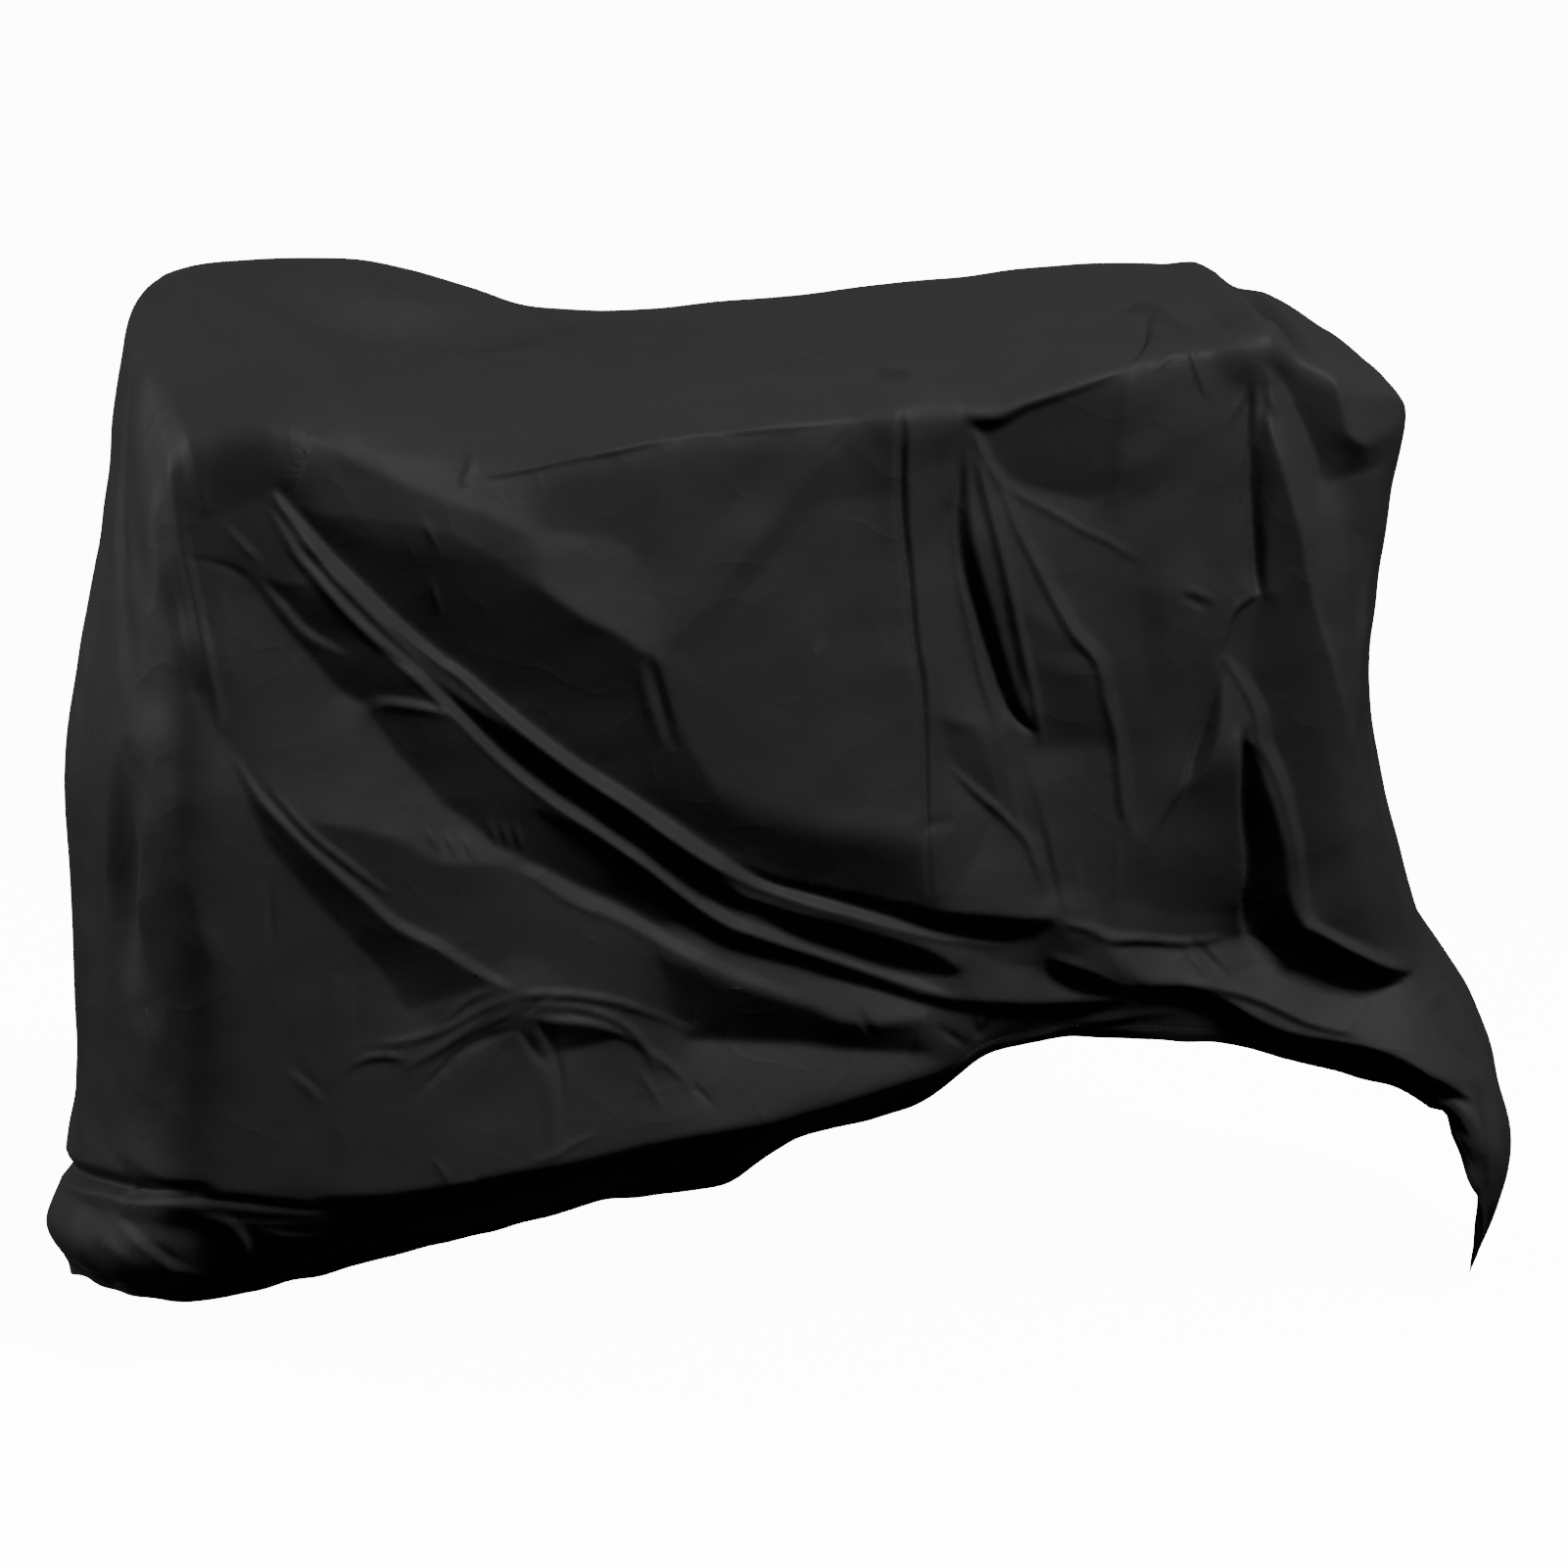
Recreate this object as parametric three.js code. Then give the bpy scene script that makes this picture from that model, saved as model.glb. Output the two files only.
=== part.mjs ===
// Motor scooter cover: one dark cloth, draped, hollow and open below, with a drawn-in hem.
// Millimetres, +Z up. X runs along the cover, front end negative. The near side faces -Y.
import * as THREE from 'three';

// Driving dimensions
const CLOTH_THICKNESS = 3;
const CLOTH_COLOUR = '#212121';
const CLOTH_ROUGHNESS = 0.55;

// End walls and side walls by height: where the front and back ends lie, half the width,
// how far each end wall bulges past its corners, and the radius of the corners
const PROFILE = {
  columns: ['z', 'front', 'back', 'half', 'bulge', 'corner'],
  rows: [
    [1130, -733, 684, 254, 6, 60],
    [1030, -750, 694, 267, 12, 70],
    [945, -758, 678, 272, 16, 75],
    [845, -771, 658, 278, 20, 80],
    [760, -785, 646, 282, 22, 85],
    [630, -802, 644, 288, 24, 90],
    [510, -799, 668, 292, 26, 95],
    [395, -796, 702, 294, 28, 100],
    [300, -797, 757, 296, 30, 105],
    [210, -805, 812, 299, 30, 110],
    [135, -824, 838, 302, 28, 115],
    [60, -822, 822, 300, 26, 120],
    [-20, -800, 792, 292, 24, 120],
  ],
};

// Height of the top edge on each side, from front to back
const TOP_EDGE = {
  near: {
    columns: ['x', 'z'],
    rows: [
      [-700, 1040], [-650, 1076], [-605, 1086], [-540, 1048], [-480, 1018], [-400, 1010],
      [-190, 1036], [-40, 1048], [70, 1054], [155, 1044], [230, 1068], [335, 1098],
      [430, 1110], [520, 1112], [600, 1062], [672, 1032],
    ],
  },
  far: {
    columns: ['x', 'z'],
    rows: [
      [-720, 1136], [-665, 1158], [-580, 1166], [-430, 1160], [-350, 1134], [-220, 1090],
      [10, 1093], [145, 1103], [360, 1117], [455, 1121], [520, 1116], [565, 1108],
      [615, 1088], [655, 1067], [690, 1046],
    ],
  },
};

// The hem on each side: its height, and how far and over what height it is drawn in
const HEM = {
  near: {
    columns: ['x', 'z', 'roll', 'tuck'],
    rows: [
      [-820, 34, 150, 50], [-735, 34, 150, 60], [-580, 58, 110, 70], [-460, 80, 95, 70],
      [-360, 98, 90, 70], [-260, 124, 85, 65], [-120, 140, 80, 60], [-60, 188, 60, 45],
      [100, 226, 60, 45], [180, 284, 40, 30], [290, 304, 40, 30], [395, 299, 40, 30],
      [490, 289, 40, 30], [605, 250, 40, 30], [700, 208, 50, 30], [750, 120, 60, 25],
      [800, -34, 60, 20],
    ],
  },
  far: {
    columns: ['x', 'z', 'roll', 'tuck'],
    rows: [
      [-820, 40, 90, 50], [-500, 48, 90, 50], [-200, 62, 80, 50], [0, 100, 70, 45],
      [200, 165, 60, 40], [400, 232, 50, 35], [600, 232, 50, 35], [720, 185, 50, 35],
      [800, 150, 50, 30],
    ],
  },
};

// Where the top edges and the hems start and end along the cover
const TOP_ENDS = [-728, 688];
const HEM_ENDS = [-820, 800];

// How far the hem of each end wall lies above or below the line between its two corners
const END_HEM = {
  front: {
    columns: ['y', 'lift'],
    rows: [[-295, 0], [-120, -4], [0, -16], [107, -28], [220, -14], [295, 0]],
  },
  back: {
    columns: ['y', 'lift'],
    rows: [[-295, 0], [-200, 20], [-100, 52], [0, 52], [295, 0]],
  },
};

// Folds. Each runs along a path of [first, second, height] on one face of the cover, where
// height is how far the cloth stands out (+) or in (-). The face says what first and second
// are: x and z on the near and far sides, y and z on the ends, x and y on the top. left and
// right are how wide the fold is to either hand as one walks its path.
const FOLDS = {
  columns: ['name', 'face', 'left', 'right', 'path'],
  rows: [
    ['front shoulder', 'near', 100, 75, [[-620, 1080, 12], [-530, 1008, 26], [-420, 966, 34],
      [-300, 930, 34], [-245, 925, 26]]],
    ['shoulder tip', 'near', 35, 40, [[-245, 935, 16], [-235, 870, 18], [-225, 800, 5]]],
    ['front hollow', 'near', 120, 85, [[-570, 935, -8], [-455, 862, -40], [-350, 796, -48],
      [-262, 740, -28], [-205, 690, -8]]],
    ['long ridge one', 'near', 40, 30, [[-640, 990, 5], [-555, 895, 22], [-455, 785, 28],
      [-355, 705, 28], [-220, 605, 28], [-85, 515, 26], [5, 485, 22], [105, 455, 17],
      [185, 430, 12], [240, 420, 5]]],
    ['long groove', 'near', 24, 24, [[-440, 740, -4], [-355, 672, -14], [-290, 618, -17],
      [-150, 518, -18], [-20, 465, -16], [100, 425, -12], [180, 400, -5]]],
    ['long ridge two', 'near', 28, 34, [[-680, 985, 4], [-600, 895, 14], [-530, 815, 18],
      [-455, 735, 21], [-365, 650, 25], [-300, 590, 25], [-220, 535, 25], [-125, 475, 22],
      [-60, 450, 20], [45, 405, 15], [140, 370, 6]]],
    ['groove under ridge two', 'near', 30, 42, [[-560, 800, -5], [-470, 708, -16],
      [-380, 618, -21], [-290, 543, -21], [-190, 478, -18], [-80, 424, -14], [60, 372, -6]]],
    ['short front ridge', 'near', 26, 26, [[-690, 960, 4], [-635, 885, 15], [-555, 795, 15],
      [-500, 730, 4]]],
    ['front pocket', 'near', 40, 25, [[-700, 900, -7], [-640, 850, -20], [-590, 790, -27],
      [-540, 740, -25], [-470, 680, -18], [-400, 610, -6]]],
    ['pocket swell', 'near', 75, 75, [[-700, 760, 6], [-610, 690, 22], [-530, 640, 21],
      [-450, 585, 8]]],
    ['low ridge right', 'near', 30, 26, [[-405, 562, 4], [-365, 545, 15], [-280, 505, 19],
      [-190, 455, 19], [-120, 415, 15], [-40, 382, 10], [125, 350, 3]]],
    ['low ridge left', 'near', 36, 30, [[-690, 690, 4], [-660, 650, 13], [-595, 580, 17],
      [-520, 500, 19], [-400, 420, 17], [-365, 392, 8]]],
    ['groove under low ridge', 'near', 30, 44, [[-640, 588, -5], [-560, 498, -13],
      [-470, 423, -15], [-415, 385, -5]]],
    ['knot crease one', 'near', 16, 16, [[-372, 384, 10], [-430, 330, 13], [-488, 278, 3]]],
    ['knot crease two', 'near', 14, 14, [[-380, 398, -6], [-440, 372, -10], [-500, 352, -3]]],
    ['knot crease three', 'near', 14, 16, [[-362, 380, -6], [-348, 345, -11], [-342, 300, -3]]],
    ['knot ridge right', 'near', 22, 26, [[-360, 395, 9], [-305, 392, 14], [-215, 342, 16],
      [-140, 270, 4]]],
    ['front corner swell', 'near', 40, 40, [[-750, 620, 5], [-722, 530, 15], [-700, 455, 9],
      [-690, 400, 3]]],
    ['hem edge', 'near', 62, 30, [[-730, 186, 6], [-565, 156, 14], [-405, 192, 19],
      [-305, 206, 19], [-190, 222, 19], [-55, 241, 16], [85, 270, 14], [160, 290, 6]]],
    ['hem crease', 'near', 16, 20, [[-800, 196, -11], [-720, 188, -15], [-640, 172, -14],
      [-560, 146, -9], [-460, 118, -3]]],
    ['hem swell', 'near', 46, 42, [[-810, 110, 14], [-700, 106, 19], [-600, 92, 12],
      [-500, 92, 3]]],
    ['first post column', 'near', 30, 26, [[112, 1060, 16], [114, 960, 15], [120, 860, 8],
      [126, 780, 3]]],
    ['first post groove', 'near', 18, 16, [[70, 1050, -9], [75, 975, -17], [85, 855, -17],
      [100, 690, -15], [106, 490, -8], [106, 440, -2]]],
    ['fold left of post', 'near', 20, 24, [[55, 1035, -8], [20, 955, -10], [-10, 890, -3]]],
    ['fan ridge one', 'near', 20, 16, [[130, 1020, 7], [131, 975, 14], [145, 850, 15],
      [175, 715, 13], [205, 620, 13], [250, 535, 13], [262, 460, 6]]],
    ['fan groove', 'near', 22, 18, [[152, 1010, -10], [151, 940, -24], [157, 885, -28],
      [180, 800, -26], [207, 705, -15], [232, 655, -4]]],
    ['fan ridge two', 'near', 30, 22, [[168, 1022, 9], [195, 970, 19], [230, 875, 22],
      [275, 785, 22], [305, 755, 18], [327, 705, 18], [345, 625, 20], [346, 575, 17],
      [336, 500, 10], [330, 440, 5]]],
    ['fan ridge three', 'near', 22, 16, [[182, 990, 7], [260, 930, 13], [315, 895, 11],
      [365, 865, 9], [430, 820, 3]]],
    ['back hollow', 'near', 60, 70, [[215, 1030, -8], [300, 1020, -20], [385, 960, -16],
      [430, 880, -8]]],
    ['back edge crease', 'near', 16, 22, [[162, 1034, -13], [230, 1056, -15], [305, 1080, -6]]],
    ['soft back ridge', 'near', 44, 30, [[350, 1062, 6], [344, 980, 10], [332, 900, 4]]],
    ['second post ridge', 'near', 22, 18, [[466, 1084, 8], [470, 1000, 13], [480, 900, 13],
      [490, 830, 15], [462, 796, 11], [450, 762, 9], [435, 715, 9], [420, 670, 9],
      [403, 610, 9], [355, 505, 3]]],
    ['second post groove', 'near', 13, 13, [[494, 1068, -8], [499, 1035, -15], [491, 950, -13],
      [494, 880, -3]]],
    ['back ridge', 'near', 34, 26, [[506, 1088, 12], [522, 1015, 21], [548, 958, 23],
      [553, 850, 15], [576, 750, 13], [605, 670, 13], [626, 608, 13], [668, 480, 15],
      [712, 358, 8]]],
    ['dark back panel', 'near', 34, 30, [[522, 905, -9], [530, 810, -13], [552, 710, -8]]],
    ['fork ridge', 'near', 18, 18, [[452, 762, 7], [476, 725, 14], [497, 672, 13],
      [525, 602, 11], [536, 500, 11], [560, 430, 6]]],
    ['deep back hollow', 'near', 30, 34, [[474, 670, -8], [482, 600, -28], [486, 520, -34],
      [494, 448, -30]]],
    ['hollow over the roll', 'near', 16, 20, [[495, 440, -22], [530, 418, -24], [580, 388, -20],
      [650, 366, -15], [708, 348, -5]]],
    ['ridge over the hollow', 'near', 20, 12, [[545, 442, 5], [600, 418, 14], [660, 390, 14],
      [716, 358, 6]]],
    ['hem roll', 'near', 55, 60, [[262, 450, 8], [330, 415, 24], [415, 386, 36],
      [515, 350, 44], [600, 314, 46], [680, 268, 46], [750, 222, 36], [800, 175, 18]]],
    ['roll groove', 'near', 14, 14, [[325, 392, -7], [362, 360, -13], [455, 326, -8],
      [555, 298, -3]]],
    ['line before the roll', 'near', 12, 12, [[130, 470, -7], [238, 456, -11]]],
    ['corner lobe', 'near', 26, 26, [[748, 205, 8], [764, 110, 13], [766, 20, 5]]],
    ['slant ridge', 'near', 34, 44, [[-20, 1005, 4], [-120, 890, 13], [-178, 822, 4]]],
    ['short ridge', 'near', 18, 18, [[-183, 995, 10], [-205, 955, 9], [-228, 910, 3]]],
    ['short groove', 'near', 14, 14, [[-202, 790, -5], [-187, 745, -11], [-190, 692, -3]]],
    ['back corner hollow', 'near', 34, 30, [[585, 1030, -7], [604, 980, -15], [618, 900, -10],
      [624, 800, -4]]],
    ['front corner ridge', 'near', 26, 22, [[-752, 930, 3], [-736, 900, 8], [-705, 780, 11],
      [-690, 690, 5]]],
    ['front corner groove', 'near', 22, 22, [[-768, 880, -4], [-742, 780, -9], [-730, 690, -5]]],
    ['small corner ridge', 'near', 16, 16, [[-722, 1062, 4], [-712, 970, 9], [-704, 900, 3]]],
    ['front fall ridge', 'front', 25, 25, [[-25, 1092, 5], [-60, 1010, 11], [-160, 935, 11],
      [-265, 880, 6]]],
    ['front fall groove', 'front', 24, 24, [[40, 1065, -4], [0, 960, -9], [-95, 850, -9],
      [-205, 740, -4]]],
    ['front big hollow', 'front', 55, 50, [[-190, 650, -6], [-172, 560, -22], [-168, 480, -22],
      [-205, 400, -6]]],
    ['front middle ridge', 'front', 60, 60, [[60, 900, 4], [40, 650, 12], [20, 400, 10],
      [30, 260, 3]]],
    ['front hem crease', 'front', 20, 16, [[205, 108, -8], [0, 146, -15], [-150, 170, -15],
      [-292, 192, -11]]],
    ['front hem swell', 'front', 50, 50, [[210, 55, 10], [0, 78, 19], [-200, 92, 19],
      [-290, 105, 14]]],
    ['top hollow', 'top', 95, 85, [[-610, 170, -6], [-500, 100, -22], [-390, 85, -22],
      [-262, 150, -7]]],
    ['middle top hollow', 'top', 80, 80, [[-170, -60, -6], [-60, -40, -12], [40, 10, -8]]],
    ['back top ridge', 'top', 40, 42, [[546, 235, 8], [536, 80, 13], [524, -80, 17],
      [510, -225, 15]]],
    ['top groove behind ridge', 'top', 34, 32, [[602, 250, -5], [586, 100, -17],
      [571, -60, -19], [560, -205, -7]]],
    ['pinch ridge', 'top', 16, 16, [[392, -55, 4], [411, -108, 12], [436, -165, 10],
      [466, -208, 4]]],
    ['pinch groove', 'top', 13, 13, [[400, -122, -6], [376, -180, -9], [348, -236, -5]]],
    ['far ridge one', 'far', 70, 80, [[-560, 1080, 5], [-600, 760, 16], [-640, 420, 14],
      [-650, 180, 4]]],
    ['far ridge two', 'far', 80, 60, [[-380, 1060, 4], [-330, 760, 14], [-300, 460, 16],
      [-320, 160, 5]]],
    ['far hollow', 'far', 110, 110, [[-150, 980, -6], [-120, 720, -22], [-60, 460, -16],
      [0, 260, -5]]],
    ['far ridge three', 'far', 60, 70, [[60, 1040, 4], [90, 760, 13], [160, 500, 15],
      [200, 280, 4]]],
    ['far ridge four', 'far', 60, 55, [[330, 1060, 5], [340, 800, 15], [390, 560, 13],
      [450, 340, 4]]],
    ['far ridge five', 'far', 55, 60, [[540, 1040, 6], [560, 780, 14], [620, 540, 14],
      [700, 320, 5]]],
    ['back end ridge one', 'back', 45, 50, [[-120, 980, 4], [-100, 740, 13], [-140, 480, 14],
      [-170, 250, 5]]],
    ['back end hollow', 'back', 55, 55, [[0, 960, -4], [10, 700, -14], [20, 440, -12],
      [10, 260, -4]]],
    ['back end ridge two', 'back', 45, 45, [[130, 990, 4], [120, 740, 12], [150, 480, 13],
      [160, 260, 5]]],
  ],
};

// Peaks where the cloth is propped from below
const PEAKS = {
  columns: ['name', 'x', 'y', 'z', 'height', 'radius'],
  rows: [
    ['first post', 108, -222, 1058, 62, 78],
    ['second post', 492, -240, 1110, 14, 60],
    ['middle post', 410, -100, 1112, 20, 60],
    ['low knot', -365, -300, 390, 15, 60],
    ['roll knot', 266, -300, 456, 18, 52],
    ['back corner', 655, -235, 1010, 10, 55],
  ],
};

// Broad slopes. Each runs along a path of [x, y, z, height] and lifts the cloth within its radius.
const SLOPES = {
  columns: ['name', 'radius', 'path'],
  rows: [
    ['shoulder', 95, [[-650, -250, 1074, -6], [-595, -257, 1082, -26], [-540, -260, 1048, -36],
      [-480, -262, 1020, -38], [-420, -262, 1010, -34], [-350, -262, 1016, -20],
      [-290, -262, 1022, -4]]],
  ],
};

// The cloth before its folds is a flat square, whose middle, this share of it, is the top.
// It is rounded by a spline over a net with this many squares along each side.
const TOP_SHARE = 0.375;
const NET = 64;

// Squares of the fine net along, across and down the cover
const ALONG = 190;
const ACROSS = 72;
const DOWN = 125;

// How steeply the cloth may face away from a face, as a cosine, and still take its folds
const FACING = { none: 0.15, full: 0.55 };

// Straight steps in each span of a fold's path
const FOLD_STEPS = 6;

// Thinning of the fine net: how many triangles are left, how much each face's detail counts,
// how much long edges cost, how strongly a new point is held to the middle of its edge, and
// the least a face may keep of its direction (a cosine) and of its breadth (a share)
const TRIANGLES = 5900;
const DETAIL = { near: 1, front: 0.6, top: 0.8, back: 0.2, far: 0.12 };
const EVENNESS = 0.02;
const SPRING = 0.002;
const LEAST_TURN = 0.3;
const LEAST_BREADTH = 0.03;

const clamp = (value, low, high) => Math.min(high, Math.max(low, value));
const mix = (from, to, share) => from + (to - from) * share;
const smooth = (low, high, value) => {
  const share = clamp((value - low) / (high - low), 0, 1);
  return share * share * (3 - 2 * share);
};

// A row of named values out of a table
function named(table, row) {
  return Object.fromEntries(table.columns.map((column, index) => [column, row[index]]));
}

// One column of a table as a smooth function of its first column
function curveOf(table, column) {
  const index = table.columns.indexOf(column);
  const rows = [...table.rows].sort((one, other) => one[0] - other[0]);
  const last = rows.length - 1;
  return (at) => {
    const place = clamp(at, rows[0][0], rows[last][0]);
    let step = 0;
    while (step < last - 1 && rows[step + 1][0] < place) step += 1;
    const span = rows[step + 1][0] - rows[step][0];
    const share = (place - rows[step][0]) / span;
    const slope = (from, to) => (rows[to][index] - rows[from][index]) / (rows[to][0] - rows[from][0]);
    const start = slope(Math.max(step - 1, 0), step + 1) * span;
    const end = slope(step, Math.min(step + 2, last)) * span;
    const square = share * share;
    const cube = square * share;
    return (2 * cube - 3 * square + 1) * rows[step][index] + (cube - 2 * square + share) * start
      + (3 * square - 2 * cube) * rows[step + 1][index] + (cube - square) * end;
  };
}

const profile = Object.fromEntries(
  PROFILE.columns.slice(1).map((column) => [column, curveOf(PROFILE, column)]),
);
const topEdge = { near: curveOf(TOP_EDGE.near, 'z'), far: curveOf(TOP_EDGE.far, 'z') };
const hem = Object.fromEntries(['near', 'far'].map((side) => [side, {
  z: curveOf(HEM[side], 'z'),
  roll: curveOf(HEM[side], 'roll'),
  tuck: curveOf(HEM[side], 'tuck'),
}]));
const endHem = {
  front: curveOf(END_HEM.front, 'lift'),
  back: curveOf(END_HEM.back, 'lift'),
};

// A point of a long side wall: share runs from front to back, fall from the top edge to the hem
function sideWall(side, share, fall) {
  const topX = mix(TOP_ENDS[0], TOP_ENDS[1], share);
  const hemX = mix(HEM_ENDS[0], HEM_ENDS[1], share);
  const top = topEdge[side](topX);
  const low = hem[side].z(hemX);
  const z = mix(top, low, fall);
  const x = mix(profile.front(z), profile.back(z), share);
  const rollUp = clamp((low + hem[side].roll(hemX) - z) / hem[side].roll(hemX), 0, 1);
  const radius = profile.corner(z);
  const short = Math.max(radius - Math.min(share, 1 - share) * (profile.back(z) - profile.front(z)), 0);
  const inset = radius - Math.sqrt(radius * radius - short * short);
  const out = profile.half(z) - inset - hem[side].tuck(hemX) * rollUp * rollUp;
  return new THREE.Vector3(x, side === 'near' ? -out : out, z);
}

// A point of an end wall: share runs from the near corner to the far corner
function endWall(end, share, fall) {
  const corner = end === 'front' ? 0 : 1;
  const outward = end === 'front' ? -1 : 1;
  const near = sideWall('near', corner, fall);
  const far = sideWall('far', corner, fall);
  const point = near.lerp(far, share);
  point.z += endHem[end](mix(-295, 295, share)) * smooth(0.35, 1, fall);
  point.x += outward * profile.bulge(point.z) * Math.sin(Math.PI * share);
  return point;
}

// A point of the top, stretched between the four top edges
function top(along, across) {
  const nearEdge = sideWall('near', along, 0);
  const farEdge = sideWall('far', along, 0);
  const frontEdge = endWall('front', across, 0);
  const backEdge = endWall('back', across, 0);
  const point = nearEdge.lerp(farEdge, across).add(frontEdge.lerp(backEdge, along));
  const ends = [0, 1].map((end) => sideWall('near', end, 0).lerp(sideWall('far', end, 0), across));
  return point.sub(ends[0].lerp(ends[1], along));
}

// The cover before its folds, over a flat square whose middle is the top and whose rim is the hem
function tent(first, second) {
  const reach = Math.max(Math.abs(first), Math.abs(second));
  if (reach <= TOP_SHARE) return top((first / TOP_SHARE + 1) / 2, (second / TOP_SHARE + 1) / 2);
  const fall = (reach - TOP_SHARE) / (1 - TOP_SHARE);
  if (Math.abs(second) >= Math.abs(first)) {
    return sideWall(second < 0 ? 'near' : 'far', (first / reach + 1) / 2, fall);
  }
  return endWall(first < 0 ? 'front' : 'back', (second / reach + 1) / 2, fall);
}

// Weights of a cubic B-spline, which rounds the edges of the tent as taut cloth does
function splineWeights(share) {
  const rest = 1 - share;
  return [
    (rest ** 3) / 6,
    (3 * share ** 3 - 6 * share ** 2 + 4) / 6,
    (3 * rest ** 3 - 6 * rest ** 2 + 4) / 6,
    (share ** 3) / 6,
  ];
}

// The tent's net, rounded: the place that the square's point (first, second) takes
function roundedTent() {
  const knots = [];
  for (let row = 0; row <= NET; row += 1) {
    for (let column = 0; column <= NET; column += 1) {
      knots.push(tent((2 * column) / NET - 1, (2 * row) / NET - 1));
    }
  }
  // Past the rim the net goes on in a straight line
  const knot = (column, row) => {
    const inColumn = clamp(column, 0, NET);
    const inRow = clamp(row, 0, NET);
    const place = knots[inRow * (NET + 1) + inColumn];
    if (inColumn === column && inRow === row) return place;
    const mirrored = knots[(2 * inRow - row) * (NET + 1) + 2 * inColumn - column];
    return place.clone().multiplyScalar(2).sub(mirrored);
  };
  return (first, second) => {
    const alongNet = ((first + 1) / 2) * NET;
    const acrossNet = ((second + 1) / 2) * NET;
    const column = Math.min(Math.floor(alongNet), NET - 1);
    const row = Math.min(Math.floor(acrossNet), NET - 1);
    const point = new THREE.Vector3();
    splineWeights(acrossNet - row).forEach((weightAcross, stepAcross) => {
      splineWeights(alongNet - column).forEach((weightAlong, stepAlong) => {
        const place = knot(column + stepAlong - 1, row + stepAcross - 1);
        point.addScaledVector(place, weightAcross * weightAlong);
      });
    });
    return point;
  };
}

// The fine net: five patches of squares, one for each face, sewn together where they meet.
// Each patch says where its own (across, up) lies on the flat square.
function fineNet() {
  const ringPlace = (share, fall) => {
    const reach = mix(TOP_SHARE, 1, fall);
    return [(2 * share - 1) * reach, reach];
  };
  const patches = {
    top: [ALONG, ACROSS, (one, two) => [TOP_SHARE * (2 * one - 1), TOP_SHARE * (2 * two - 1)]],
    near: [ALONG, DOWN, (one, two) => {
      const [side, reach] = ringPlace(one, 1 - two);
      return [side, -reach];
    }],
    far: [ALONG, DOWN, (one, two) => ringPlace(one, two)],
    front: [DOWN, ACROSS, (one, two) => {
      const [side, reach] = ringPlace(two, 1 - one);
      return [-reach, side];
    }],
    back: [DOWN, ACROSS, (one, two) => {
      const [side, reach] = ringPlace(two, one);
      return [reach, side];
    }],
  };
  const places = [];
  const faces = [];
  const triangles = [];
  const known = new Map();
  for (const [face, [columns, rows, placeOf]] of Object.entries(patches)) {
    const index = (column, row) => {
      const place = placeOf(column / columns, row / rows);
      const key = place.map((value) => value.toFixed(5)).join(' ');
      if (!known.has(key)) {
        known.set(key, places.length);
        places.push(place);
        faces.push(face);
      }
      return known.get(key);
    };
    for (let row = 0; row < rows; row += 1) {
      for (let column = 0; column < columns; column += 1) {
        const corners = [[0, 0], [1, 0], [1, 1], [0, 1]]
          .map(([right, up]) => index(column + right, row + up));
        const [one, two, three, four] = (column + row) % 2 ? corners : [...corners.slice(1), corners[0]];
        triangles.push([one, two, three], [one, three, four]);
      }
    }
  }
  return { places, faces, triangles };
}

// Outward directions of a surface at its points
function outwardOf(points, triangles) {
  const outward = points.map(() => new THREE.Vector3());
  for (const triangle of triangles) {
    const [one, two, three] = triangle.map((index) => points[index]);
    const normal = two.clone().sub(one).cross(three.clone().sub(one));
    triangle.forEach((index) => outward[index].add(normal));
  }
  outward.forEach((normal) => normal.normalize());
  return outward;
}

// What each face of the cover measures along, and which way it looks
const FACES = {
  near: { first: 'x', second: 'z', looks: new THREE.Vector3(0, -1, 0) },
  far: { first: 'x', second: 'z', looks: new THREE.Vector3(0, 1, 0) },
  front: { first: 'y', second: 'z', looks: new THREE.Vector3(-1, 0, 0) },
  back: { first: 'y', second: 'z', looks: new THREE.Vector3(1, 0, 0) },
  top: { first: 'x', second: 'y', looks: new THREE.Vector3(0, 0, 1) },
};

// A fold's path drawn through its points, as short straight steps
function drawnPath(path) {
  const curve = new THREE.CatmullRomCurve3(
    path.map((point) => new THREE.Vector3(...point)),
    false,
    'centripetal',
  );
  return curve.getPoints((path.length - 1) * FOLD_STEPS);
}

// How far one fold lifts the cloth at a place of its face
function liftOf(fold, first, second) {
  let nearest = Infinity;
  let lift = 0;
  for (let step = 0; step < fold.steps.length - 1; step += 1) {
    const from = fold.steps[step];
    const to = fold.steps[step + 1];
    const runX = to.x - from.x;
    const runY = to.y - from.y;
    const offX = first - from.x;
    const offY = second - from.y;
    const share = clamp((offX * runX + offY * runY) / (runX * runX + runY * runY), 0, 1);
    const awayX = offX - share * runX;
    const awayY = offY - share * runY;
    const width = runX * offY - runY * offX > 0 ? fold.left : fold.right;
    const away = (awayX * awayX + awayY * awayY) / (width * width);
    if (away < nearest) {
      nearest = away;
      lift = mix(from.z, to.z, share);
    }
  }
  return nearest < 1 ? lift * (1 - nearest) ** 2 : 0;
}

// How far a slope lifts the cloth at a point
function slopeLift(slope, point) {
  let nearest = Infinity;
  let lift = 0;
  slope.path.slice(1).forEach((end, step) => {
    const start = slope.path[step];
    const line = new THREE.Line3(new THREE.Vector3(...start), new THREE.Vector3(...end));
    const share = line.closestPointToPointParameter(point, true);
    const away = line.at(share, new THREE.Vector3()).distanceTo(point) / slope.radius;
    if (away < nearest) {
      nearest = away;
      lift = mix(start[3], end[3], share);
    }
  });
  return nearest < 1 ? lift * (1 - nearest * nearest) ** 2 : 0;
}

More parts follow.
